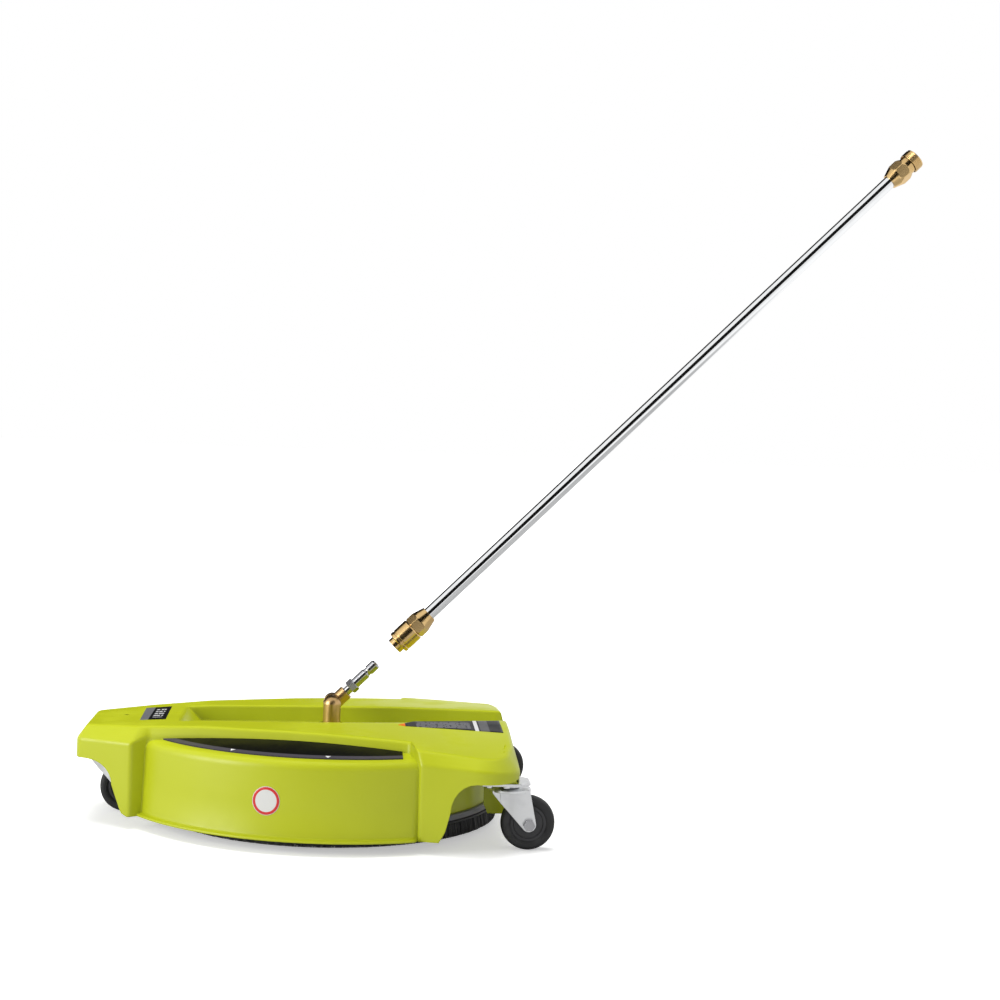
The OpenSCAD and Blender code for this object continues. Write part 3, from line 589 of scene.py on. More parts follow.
@dataclass(frozen=True)
class PrintedVinyl(MouldedPlastic):
    """Moulded or vinyl surface with plain printed bands and rows of plain bars."""

    bands: tuple[Band, ...] = ()
    rows: tuple[PrintRows, ...] = ()

    def build(self, groups: SharedGroups) -> bpy.types.Material:
        """Builds the plain surface, then lays each band and each block of bars over its colour.

        Args:
            groups: the shared effects.

        Returns:
            The material.
        """
        material = super().build(groups)
        n = Nodes(material.node_tree)
        shader = material.node_tree.nodes["Principled BSDF"]
        colour = shader.inputs["Base Color"].links[0].from_socket
        place = n.place()
        for band in self.bands:
            value, shift = self._coordinate(n, place, band)
            above = n.math("GREATER_THAN", value, (band.low - shift) * MM)
            below = n.math("LESS_THAN", value, (band.high - shift) * MM)
            colour = n.mix(n.math("MULTIPLY", above, below), colour, band.colour)
        for block in self.rows:
            (from_x, to_x), (from_y, to_y) = ((v - MIDDLE_X) * MM for v in block.x), (v * MM for v in block.y)
            lines = n.effect(
                groups.print_lines, Pitch=block.pitch * MM, From_X=from_x, To_X=to_x, From_Y=from_y, To_Y=to_y
            )
            colour = n.mix(lines.outputs["Mask"], colour, block.colour)
        n.feed(shader.inputs["Base Color"], colour)
        return material

    @staticmethod
    def _coordinate(n: Nodes, place: bpy.types.NodeSocket, band: Band) -> tuple[bpy.types.NodeSocket, float]:
        """The coordinate or distance that a band is measured by.

        Args:
            n: node helper.
            place: Object coordinates.
            band: the band.

        Returns:
            The measure in metres, and the millimetres to take from the band's limits.
        """
        if band.measure is Measure.ALONG_X:
            return n.add("ShaderNodeSeparateXYZ", Vector=place).outputs["X"], MIDDLE_X
        away = n.vector("SUBTRACT", place, tuple(to_frame(band.centre)))
        flat = n.vector("MULTIPLY", away, (1.0, 1.0, 0.0 if band.measure is Measure.RADIUS else 1.0))
        return n.vector("LENGTH", flat, output=1), 0.0


class Shop:
    """All finishes of this object, built once, and which CAD node wears which."""

    def __init__(self) -> None:
        """Builds the shared groups and every finish."""
        groups = SharedGroups()
        wand_turn = (0.0, -math.pi / 4, 0.0)
        finishes: dict[str, Finish] = {
            "lime": MouldedPlastic(
                "lime_moulding", (0.425, 0.47, 0.010), 0.36, shade=(0.41, 0.455, 0.008), grain=0.05, specular=0.42
            ),
            "panel_front": self._panel(Side.FRONT),
            "panel_back": self._panel(Side.BACK),
            "nose_label": PrintedVinyl(
                "nose_label", (0.008, 0.008, 0.009), 0.35, shade=(0.011, 0.011, 0.012),
                grain=0.02, edge=0.0, ior=1.15,
                bands=(Band(Measure.ALONG_X, -200.0, -182.0, (0.13, 0.13, 0.14)),),
                rows=(PrintRows(12.0, (-179.0, -169.5), (-20.0, 34.0), (0.45, 0.45, 0.45)),),
            ),
            "tail_label": PrintedVinyl(
                "tail_label", (0.022, 0.022, 0.025), 0.38, shade=(0.028, 0.028, 0.03),
                grain=0.02, edge=0.0, ior=1.2,
                bands=(
                    Band(Measure.ALONG_X, 0.0, 73.0, (0.65, 0.13, 0.01)),
                    Band(Measure.ALONG_X, 141.6, 145.4, (0.6, 0.6, 0.6)),
                    Band(Measure.ALONG_X, 147.0, 156.0, (0.09, 0.09, 0.095)),
                ),
                rows=(PrintRows(4.6, (84.0, 138.0), (-70.0, -44.0), (0.2, 0.2, 0.21)),),
            ),
            "sticker": PrintedVinyl(
                "round_sticker", (0.62, 0.62, 0.6), 0.35, shade=(0.58, 0.58, 0.57), grain=0.02, edge=0.0,
                bands=(Band(Measure.DISTANCE, 10.4, 12.9, (0.55, 0.02, 0.02), (-58.1, -162.8, 48.0)),),
            ),
            "print": MouldedPlastic(
                "white_print", (0.75, 0.75, 0.74), 0.4, shade=(0.7, 0.7, 0.7), grain=0.02, edge=0.0
            ),
            # Painted shade: near-black lime for the flat disc that stands in for the shaded inside of the nose hole.
            "recess": MouldedPlastic(
                "painted_hole_shade", (0.03, 0.034, 0.004), 0.7, shade=(0.02, 0.023, 0.003), grain=0.02, edge=0.0, ior=1.1
            ),
            "band": MouldedPlastic("grey_band", (0.16, 0.16, 0.17), 0.45, shade=(0.12, 0.12, 0.13), grain=0.1),
            "bristle": MouldedPlastic(
                "bristle_fibre", (0.012, 0.012, 0.013), 0.5, shade=(0.03, 0.03, 0.032), grain=0.0, edge=0.0
            ),
            "hub": MouldedPlastic(
                "wheel_hub_plastic", (0.028, 0.028, 0.03), 0.42, shade=(0.04, 0.04, 0.043), grain=0.1, edge=0.0006
            ),
            "tyre": Rubber("wheel_rubber", (0.018, 0.018, 0.019), 0.6, bloom=(0.05, 0.05, 0.052)),
            "seal": Rubber("seal_rubber", (0.01, 0.01, 0.01), 0.5),
            "brass": Metal(
                "polished_brass", (0.74, 0.51, 0.23), 0.2, tarnish=(0.4, 0.24, 0.08), turning=wand_turn, turned=0.01
            ),
            "cast_brass": Metal(
                "cast_brass", (0.58, 0.38, 0.17), 0.34, tarnish=(0.3, 0.18, 0.07),
                tarnish_share=0.5, cast=0.12, edge=0.0008,
            ),
            "chrome": Metal("chrome_tube", (0.86, 0.87, 0.88), 0.05, tarnish=(0.55, 0.56, 0.58), tarnish_share=0.1),
            "zinc": Metal(
                "zinc_plate", (0.92, 0.93, 0.94), 0.32, tarnish=(0.7, 0.71, 0.73), tarnish_share=0.25, edge=0.0006
            ),
            "plug_steel": Metal("plug_steel", (0.5, 0.5, 0.52), 0.2, tarnish=(0.3, 0.3, 0.31), tarnish_share=0.3),
            "steel": Metal("bright_steel", (0.62, 0.63, 0.65), 0.3, tarnish=(0.35, 0.35, 0.36)),
        }
        self.made = {key: finish.build(groups) for key, finish in finishes.items()}

    @staticmethod
    def _panel(side: Side) -> PrintedVinyl:
        """Glossy black shoulder panel with a dull purple-grey rim along its outer edge.

        Args:
            side: the side that the panel is on.

        Returns:
            Its finish.
        """
        centre = (BULGE_X, -side.value * BULGE_OFFSET, 0.0)
        return PrintedVinyl(
            f"black_panel_{side.name.lower()}", (0.003, 0.003, 0.004), 0.3, shade=(0.004, 0.004, 0.005),
            grain=0.02, edge=0.0006, ior=1.11, bands=(Band(Measure.RADIUS, 211.5, 300.0, PANEL_RIM, centre),),
        )

    def node_finish(self, node: str) -> str:
        """The finish key of a CAD node, from the words in its name.

        Args:
            node: the node's name.

        Returns:
            A key of `made`.
        """
        rules = [
            (("deck_shell", "spray_chamber"), "lime"),
            (("edge_panel_front",), "panel_front"),
            (("edge_panel_back",), "panel_back"),
            (("brush_holder",), "band"),
            (("bristles",), "bristle"),
            (("tyre",), "tyre"),
            (("wheel_hub",), "hub"),
            (("seal",), "seal"),
            (("quick_plug", "axle"), "plug_steel"),
            (("inlet_elbow", "elbow_arm"), "cast_brass"),
            (("coupler_spring", "coupler_balls", "bearing", "rotor_shaft", "snap_ring"), "steel"),
            (("coupler", "inlet_fitting", "lock_nut", "swivel_housing", "spray_hub", "spray_nozzles"), "brass"),
            (("wand_tube", "spray_arms"), "chrome"),
        ]
        for words, key in rules:
            if any(w in node for w in words):
                return key
        return "zinc"

    def dress_cad(self) -> None:
        """Gives every CAD node its finish."""
        for name, piece in frame["nodes"].items():
            self.dress(piece, self.node_finish(name))

    def dress(self, piece: bpy.types.Object, key: str) -> None:
        """Puts one finish in every material slot of a piece.

        Args:
            piece: the object.
            key: a key of `made`.
        """
        if not piece.material_slots:
            piece.data.materials.append(self.made[key])
        for slot in piece.material_slots:
            slot.material = self.made[key]


# ---------------------------------------------------------------- mesh helpers for joined skins


@dataclass
class Patch:
    """A grid of points with its faces, ready to be joined with others."""

    points: np.ndarray
    faces: np.ndarray

    def facing(self, outward: np.ndarray) -> "Patch":
        """Turns the faces so that, on the whole, they face the given way.

        Args:
            outward: (n, 3) or (3,) direction that the surface should face near each point.

        Returns:
            The patch itself, or one with its faces turned round.
        """
        corners = self.points[self.faces]
        normal = np.cross(corners[:, 2] - corners[:, 0], corners[:, 3] - corners[:, 1])
        hint = np.broadcast_to(outward, self.points.shape)[self.faces[:, 0]]
        return self if (normal * hint).sum() > 0 else Patch(self.points, self.faces[:, ::-1])

    def mirrored(self) -> "Patch":
        """The patch on the other side of the plane y = 0."""
        return Patch(self.points * (1.0, -1.0, 1.0), self.faces[:, ::-1])


def join_patches(patches: list[Patch]) -> tuple[np.ndarray, np.ndarray]:
    """Stacks the points of several patches and renumbers their faces.

    Args:
        patches: the patches, in order.

    Returns:
        Points and faces.
    """
    offsets = np.cumsum([0] + [len(p.points) for p in patches[:-1]])
    faces = [p.faces + offset for p, offset in zip(patches, offsets)]
    return np.concatenate([p.points for p in patches]), np.concatenate(faces)


def merge_close(piece: bpy.types.Object, reach: float = 2e-5) -> None:
    """Merges points that lie close together and drops faces that lose their area.

    Args:
        piece: the object.
        reach: greatest distance of merged points, in metres.
    """
    work = bmesh.new()
    work.from_mesh(piece.data)
    bmesh.ops.remove_doubles(work, verts=work.verts, dist=reach)
    bmesh.ops.dissolve_degenerate(work, edges=work.edges, dist=1e-6)
    work.to_mesh(piece.data)
    work.free()


# ---------------------------------------------------------------- the moulded deck


@dataclass
class DeckShell:
    """The moulded deck: outer skin with rounded edges as grids, inner side as the CAD node has it.

    The half with y >= 0 is built and mirrored. Along the outline every station holds five numbers: the wall's
    plan point (wx, wy), the wall's top wz, and the plan point (ex, ey) where the bevel meets the crown.
    """

    nose_keys: tuple = (
        (-249, 0, 82, -240, 0), (-249, 45, 82, -240, 38), (-246, 51, 82, -238.5, 42.5), (-192.5, 82, 83.5, -186, 64.6),
    )
    bridge: tuple[float, float] = (-177.0, 75.0)
    bridge_out: float = 4.0
    bridge_drop: float = 9.0
    leg_key: tuple = (84, 164, 84, 81, 156)
    corner: tuple[float, float] = (143.0, 142.0)
    corner_z: float = 81.0
    corner_rise: float = 3.5
    wall_r: float = 37.0
    edge_r: float = 26.0
    end_r: float = 2522.5
    end_z: float = 77.5
    end_bevel: float = 7.0
    end_edge_y: float = 136.0
    tail_x: float = 184.0
    crest_keys: tuple = ((-260, 93.8), (-128, 101.6), (-31, 102.5), (67, 104.2), (200, 105.2))
    channel_keys: tuple = ((-150, 44), (-31, 49), (67, 46), (122, 38), (200, 22))
    ramp: float = 15.0
    floor_z: float = 85.0
    ring_inset: float = 6.0
    bulge_x: float = BULGE_X
    bulge_offset: float = BULGE_OFFSET
    cone_r: float = 222.0
    cone_z0: float = 86.5
    cone_rise: float = 7.5
    cone_run: float = 56.0
    round_r: float = 9.0
    drum_z: tuple[float, ...] = (17.0, 46.0, 77.5)
    drum_r: tuple[float, ...] = (233.6, 232.3, 231.0)
    rim_r: float = 2.5
    sill_r: float = 2.0
    foot_keys: tuple = (
        (-270, 64.5), (-236, 63.5), (-229.5, 62.7), (-223.5, 60.5), (-218.3, 56.9), (-214.3, 52.3), (-211.9, 46.8),
        (-211, 41), (-203, 20.5), (-200.5, 15), (-195, 12), (103, 12), (108.5, 22), (113, 40), (113.8, 47.5),
        (116.2, 54.5), (120, 60.5), (125, 65.1), (130.8, 68), (137, 69), (166, 69), (174, 70), (179, 72), (184, 75),
    )

    def bridge_half(self, x: np.ndarray) -> np.ndarray:
        """Half width of the bridge's edge line at x."""
        return 67.0 + 0.25 * (np.asarray(x) - self.bridge[0])

    def crest(self, x: np.ndarray, y: np.ndarray) -> np.ndarray:
        """Height of the crown: a line along x, falling a little with y squared towards the tail.

        Args:
            x, y: plan point or points.

        Returns:
            Its height.
        """
        keys = np.array(self.crest_keys)
        fall = np.maximum(0.0, np.asarray(x) + 40.0) * 2.6e-6 * np.asarray(y) ** 2
        return np.interp(x, keys[:, 0], keys[:, 1]) - fall

    def channel_half(self, x: np.ndarray) -> np.ndarray:
        """Half width of the wand's channel at x."""
        keys = np.array(self.channel_keys)
        return np.interp(x, keys[:, 0], keys[:, 1])

    def channel_floor(self, x: np.ndarray) -> np.ndarray:
        """Height of the channel's floor: the crown before it starts, then a ramp down, then level.

        Args:
            x: place along the deck.

        Returns:
            Its height.
        """
        start = self.channel_keys[0][0]
        share = np.clip((np.asarray(x) - start) / self.ramp, 0.0, 1.0)
        return self.crest(x, 0.0) * (1.0 - share) + self.floor_z * share

    def cone_z(self, r: np.ndarray) -> np.ndarray:
        """Height of a shoulder at the radius r from its own centre."""
        return self.cone_z0 + self.cone_rise * (self.cone_r - r) / self.cone_run

    def foot(self, x: np.ndarray, y: np.ndarray) -> np.ndarray:
        """Height of the wall's lower edge: the arches, the legs, and over the shoulders the shoulder itself.

        Args:
            x, y: plan point or points.

        Returns:
            Its height.
        """
        keys = np.array(self.foot_keys)
        z = np.interp(x, keys[:, 0], keys[:, 1])
        r = np.hypot(np.asarray(x) - self.bulge_x, np.asarray(y) + self.bulge_offset)
        inside = (x > self.bridge[0]) & (x < self.bridge[1] + 9.0) & (r < self.cone_r)
        return np.where(inside, self.cone_z(r) - 1.5, z)

    def outline(self) -> np.ndarray:
        """Dense stations along the half outline, every 0.5 mm, with its plan corners rounded by a Gaussian.

        Returns:
            (n, 7) wx, wy, wz, ex, ey, ring x, ring y from the nose's middle to the tail's middle.
        """
        xs = np.linspace(*self.bridge, 64)
        half = self.bridge_half(xs)
        bridge = np.stack([xs, half + self.bridge_out, self.crest(xs, half) - self.bridge_drop, xs, half], 1)
        a = np.radians(np.arange(100.0, -1.0, -2.0))
        cx, cy = self.corner
        c, s = np.cos(a), np.sin(a)
        wall, edge = (cx + self.wall_r * c, cy + self.wall_r * s), (cx + self.edge_r * c, cy + self.edge_r * s)
        turn = np.stack([*wall, self.corner_z - self.corner_rise * c, *edge], 1)
        y = cy * np.linspace(0.95, 0.0, 30)
        wx = self.tail_x - self.end_r + np.sqrt(self.end_r**2 - y**2)
        end = np.stack([wx, y, np.full_like(y, self.end_z), wx - self.end_bevel, y * self.end_edge_y / cy], 1)
        keys = np.concatenate([np.array(self.nose_keys, float), bridge, np.array([self.leg_key], float), turn, end])
        run = np.concatenate([[0.0], np.cumsum(np.hypot(*np.diff(keys[:, :2], axis=0).T))])
        t = np.linspace(0.0, run[-1], int(run[-1] / 0.5))
        dense = np.stack([np.interp(t, run, keys[:, k]) for k in range(5)], 1)
        flip, pad = np.array([1, -1, 1, 1, -1]), 30
        full = np.concatenate([dense[pad:0:-1] * flip, dense, dense[-2 : -pad - 2 : -1] * flip])
        kernel = np.exp(-0.5 * (np.arange(-14, 15) / 3.2) ** 2)
        smooth = np.stack([np.convolve(full[:, k], kernel / kernel.sum(), "same") for k in range(5)], 1)[pad:-pad]
        inward = smooth[:, 3:5] - smooth[:, 0:2]
        ring = smooth[:, 3:5] + self.ring_inset * inward / np.linalg.norm(inward, axis=1, keepdims=True)
        return np.concatenate([smooth, ring], 1)

    def crown(
        self, line: np.ndarray, first: int, last: int, side: np.ndarray
    ) -> tuple[Patch, np.ndarray, np.ndarray]:
        """The crown with its sunk channel, as columns that run from the outer ring to the middle line.

        A column starts at a ring point (bx, by) and bends to the middle line by x = bx + (dx - bx)(1 - (1 - t)^4).
        Down a column the points lie at the rim's distance q from the channel's side: rim, wall, sill, floor.

        Args:
            line: the dense outline.
            first: station of the nose corner.
            last: station of the tail corner.
            side: fractional stations of the columns.

        Returns:
            The patch, and the y and z of its first and last columns, which the end walls follow.
        """
        station = np.arange(len(line))
        bx, by = np.interp(side, station, line[:, 5]), np.interp(side, station, line[:, 6])
        dx = line[0, 5] + (bx - bx[0]) * (line[-1, 5] - line[0, 5]) / (bx[-1] - bx[0])
        a = np.radians([0, 22.5, 45, 67.5, 90])
        q = np.concatenate([self.rim_r * (1 - np.sin(a)), -0.4 - self.sill_r * (1 - np.cos(a))])
        half = np.minimum(self.channel_half(bx), by - 8.0)
        rims, sills, floors = slice(14, 19), slice(19, 24), slice(24, 28)
        outer = np.linspace(1.0, 0.0, rims.start + 1)[None, :-1]
        x = np.repeat(bx[:, None], floors.stop, 1)
        for _ in range(3):
            widest = half[:, None] + 8.0 * (half[:, None] >= 30.0)
            rim = np.minimum(self.channel_half(x[:, rims.start : sills.stop]), widest)
            rim = np.minimum(rim, (by - 8.0)[:, None])
            edges = rim + q[None, :]
            top = edges[:, :1] + (by[:, None] - edges[:, :1]) * outer
            floor = edges[:, -1:] * np.linspace(0.8, 0.0, floors.stop - floors.start)[None, :]
            y = np.concatenate([top, edges, floor], 1)
            t = 1.0 - y / by[:, None]
            x = bx[:, None] + (dx - bx)[:, None] * (1.0 - (1.0 - t) ** 4)
        nose, tail = line[: first + 1], line[last:][::-1]
        x[0] = np.interp(y[0], nose[:, 6], nose[:, 5])
        x[-1] = np.interp(y[-1], tail[:, 6], tail[:, 5])
        full, low = self.crest(x, y), self.channel_floor(x)
        drop = np.clip(full - low, 0.0, None)
        z = full.copy()
        z[:, rims] -= (1 - np.cos(a)) * np.minimum(self.rim_r, 0.5 * drop[:, rims])
        sunk = low[:, sills] + (1 - np.sin(a)) * np.minimum(self.sill_r, 0.4 * drop[:, sills])
        z[:, sills] = np.where(drop[:, sills] > 0.0, sunk, full[:, sills])
        z[:, floors] = np.minimum(full, low)[:, floors]
        patch = Patch(np.stack([x, y, z], -1).reshape(-1, 3), grid_faces(*x.shape)).facing(UPWARD)
        return patch, np.stack([y[0], z[0]]), np.stack([y[-1], z[-1]])

    def wall(self, line: np.ndarray, stations: np.ndarray, cap: np.ndarray, shift: np.ndarray) -> Patch:
        """The skirt and bevel along the outline.

        Each station's profile runs foot, wall, rounded shoulder, bevel, rounded edge, ring; a rounded part is the
        quadratic Bezier curve (1-t)^2 P0 + 2t(1-t) P1 + t^2 P2 about the sharp corner P1.

        Args:
            line: the dense outline.
            stations: fractional stations.
            cap: greatest height at each station, which opens the tail's wall where the channel runs out.
            shift: weight, by station, with which a point follows the channel's side.

        Returns:
            The patch.
        """
        index = np.arange(len(line))
        wx, wy, wz, ex, ey, rx, ry = (np.interp(stations, index, line[:, k]) for k in range(7))
        wall = np.stack([wx, wy, wz], 1)
        edge = np.stack([ex, ey, self.crest(ex, ey)], 1)
        ring = np.stack([rx, ry, self.crest(rx, ry)], 1)
        foot = np.stack([wx, wy, self.foot(wx, wy)], 1)
        slope, flat = edge - wall, ring - edge
        length = np.linalg.norm(slope, axis=1, keepdims=True)
        slope, flat = slope / length, flat / np.linalg.norm(flat, axis=1, keepdims=True)
        near, far = np.minimum(2.6, 0.42 * length), np.minimum(3.2, 0.42 * length)
        t = np.linspace(0.0, 1.0, 7)[None, :, None]

        def bend(p0: np.ndarray, p1: np.ndarray, p2: np.ndarray) -> np.ndarray:
            """The quadratic Bezier curve of the three points, at every t."""
            return (1 - t) ** 2 * p0[:, None] + 2 * t * (1 - t) * p1[:, None] + t**2 * p2[:, None]

        low = bend(wall - near * (0.0, 0.0, 1.0), wall, wall + near * slope)
        high = bend(edge - far * slope, edge, edge + far * flat)
        rows = np.concatenate([foot[:, None], low, high, ring[:, None]], 1)
        rows[:, 1:, 2] = np.maximum(rows[:, 1:, 2], foot[:, None, 2] + 0.01)
        rows[:, :, 2] = np.minimum(rows[:, :, 2], cap[:, None])
        rows[:, :-1, 1] += shift[:, None] * (self.channel_half(rows[:, :-1, 0]) - self.channel_half(rx)[:, None])
        outward = np.repeat(wall - (-40.0, 0.0, 0.0), rows.shape[1], 0) * (0.6, 1.0, 0.0)
        return Patch(rows.reshape(-1, 3), grid_faces(*rows.shape[:2])).facing(outward)

    def shoulder(self) -> Patch:
        """One bulging side of the drum: lip, drafted wall, rounded shoulder and cone.

        A profile (r, z) turned about (bulge_x, -bulge_offset); the cone's inner edge follows the bridge, where
        r = (offset + half line) / (sin p - slope cos p), and the lip melts into the legs at both ends.

        Returns:
            The patch.
        """
        p = np.radians(np.linspace(71.3, 148.6, 150))
        a = np.radians(np.linspace(0, 90, 8))
        lip = np.array([
            [233.0, 12.0], [238.0, 12.0], [238.8, 12.4], [239.0, 13.2], [238.7, 14.1],
            [237.6, 14.6], [235.4, 15.0], [234.2, 15.6], [233.6, 17.0],
        ])
        top_z, top_r = self.drum_z[-1], self.drum_r[-1]
        arc = np.stack([self.cone_r + self.round_r * np.cos(a), top_z + self.round_r * np.sin(a)], 1)
        profile = np.concatenate([lip, [[232.3, 46.0]], arc])
        ends = np.clip(np.minimum(p - p[0], p[-1] - p) / math.radians(1.6), 0.0, 1.0)
        r = top_r + (profile[None, :, 0] - top_r) * np.where(profile[None, :, 0] > top_r, ends[:, None], 1.0)
        z = np.repeat(profile[None, :, 1], len(p), 0)
        inner = (self.bulge_offset + 70.0 + 0.25 * (self.bulge_x - self.bridge[0])) / (np.sin(p) - 0.25 * np.cos(p))
        inner = np.minimum(inner, self.cone_r - 0.1)
        steps = np.linspace(0.0, 1.0, 8)[None, 1:]
        cone = self.cone_r + (inner[:, None] - self.cone_r) * steps
        r, z = np.concatenate([r, cone], 1), np.concatenate([z, self.cone_z(cone)], 1)
        c, s = np.cos(p)[:, None], np.sin(p)[:, None]
        points = np.stack([self.bulge_x + r * c, -self.bulge_offset + r * s, z], -1)
        patch = Patch(points.reshape(-1, 3), grid_faces(*r.shape))
        return patch.facing(np.array([0.0, 1.0, 0.3]))

    def skin(self) -> tuple[np.ndarray, np.ndarray]:
        """All outer patches of both halves.

        Returns:
            Points in deck millimetres and faces.
        """
        line = self.outline()
        index = np.arange(len(line))
        first = int(np.argmax(line[:, 6] > 33.0))
        last = len(line) - 1 - int(np.argmax(line[::-1, 6] > 141.0))
        feet = self.foot(line[:, 0], line[:, 1])
        step = np.hypot(np.hypot(*np.diff(line[:, :2], axis=0).T), 0.5 * np.minimum(np.abs(np.diff(feet)), 6.0))
        run = np.concatenate([[0.0], np.cumsum(step)])
        side = np.interp(np.linspace(run[first], run[last], int((run[last] - run[first]) / 2.0)), run, index)
        crown, nose_y, tail_yz = self.crown(line, first, last, side)
        nose = np.interp(nose_y[0][::-1], line[: first + 1, 6], index[: first + 1])
        tail = np.interp(tail_yz[0], line[last:, 6][::-1], index[last:][::-1])
        stations = np.concatenate([nose[:-1], side, tail[1:]])
        cap = np.concatenate([np.full(len(nose) - 1 + len(side), 200.0), tail_yz[1][1:]])
        y, half = tail_yz[0][1:], self.channel_half(self.tail_x)
        weight = np.clip(np.minimum(y / half, (60.0 - y) / 30.0), 0.0, 1.0)
        shift = np.concatenate([np.zeros(len(nose) - 1 + len(side)), weight])
        halves = [crown, self.wall(line, stations, cap, shift), self.shoulder()]
        return join_patches(halves + [patch.mirrored() for patch in halves])

    def build(self, shop: Shop) -> bpy.types.Object:
        """Joins the skin with the CAD node's inner faces and takes that node's place.

        Args:
            shop: gives the finish.

        Returns:
            The new deck.
        """
        points, faces = self.skin()
        piece = mesh_object("deck_moulding", points, faces)
        merge_close(piece)
        inner = frame["nodes"]["deck_shell"].data.copy()
        corners, outer = [v.co for v in piece.data.vertices], [tuple(f.vertices) for f in piece.data.polygons]
        tree = BVHTree.FromPolygons(corners, outer)
        work = bmesh.new()
        work.from_mesh(inner)
        bmesh.ops.remove_doubles(work, verts=work.verts, dist=1e-6)
        work.normal_update()
        covered = []
        for face in work.faces:
            spot, normal, _, _ = tree.find_nearest(face.calc_center_median(), 0.0024)
            if spot is not None and normal.dot(face.normal) > 0.3:
                covered.append(face)
        bmesh.ops.delete(work, geom=covered, context="FACES")
        for face in work.faces:
            face.smooth = False
        work.from_mesh(piece.data)
        work.to_mesh(piece.data)
        work.free()
        shop.dress(piece, "lime")
        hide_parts("deck_shell")
        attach(piece, "deck")
        LOG.info("deck_moulding: %d faces, %d CAD faces left out", len(piece.data.polygons), len(covered))
        return piece


# ---------------------------------------------------------------- smooth skins of the other parts


@dataclass(frozen=True)
class SmoothSkin:
    """A CAD part's own mesh, merged and shaded smoothly between the edges that bend more than the crease."""

    node: str
    crease: float = 28.0

    def build(self, shop: Shop) -> bpy.types.Object:
        """Copies the node's loose triangles, merges them and marks the sharp edges.

        Args:
            shop: gives the finish.

        Returns:
            The skin, which rides the node's body in the node's place.
        """
        source = frame["nodes"][self.node]
        mesh = source.data.copy()
        mesh.name = f"{self.node}_skin"
        work = bmesh.new()
        work.from_mesh(mesh)
        bmesh.ops.remove_doubles(work, verts=work.verts, dist=2e-6)
        bmesh.ops.dissolve_degenerate(work, edges=work.edges, dist=1e-7)
        limit = math.radians(self.crease)
        for face in work.faces:
            face.smooth = True
        for edge in work.edges:
            edge.smooth = len(edge.link_faces) == 2 and edge.calc_face_angle(0.0) < limit
        work.to_mesh(mesh)
        work.free()
        if "custom_normal" in mesh.attributes:
            mesh.attributes.remove(mesh.attributes["custom_normal"])
        piece = bpy.data.objects.new(mesh.name, mesh)
        bpy.context.scene.collection.objects.link(piece)
        shop.dress(piece, shop.node_finish(self.node))
        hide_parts(self.node)
        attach(piece, source["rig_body"])
        LOG.info("%s: %d faces", piece.name, len(mesh.polygons))
        return piece


def smooth_all(shop: Shop) -> None:
    """Gives every CAD part that no new piece stands for its smooth skin.

    Args:
        shop: gives the finishes.
    """
    for name in sorted(frame["nodes"]):
        if name != "deck_shell" and not name.startswith("bristles"):
            SmoothSkin(name).build(shop)


# ---------------------------------------------------------------- bristles


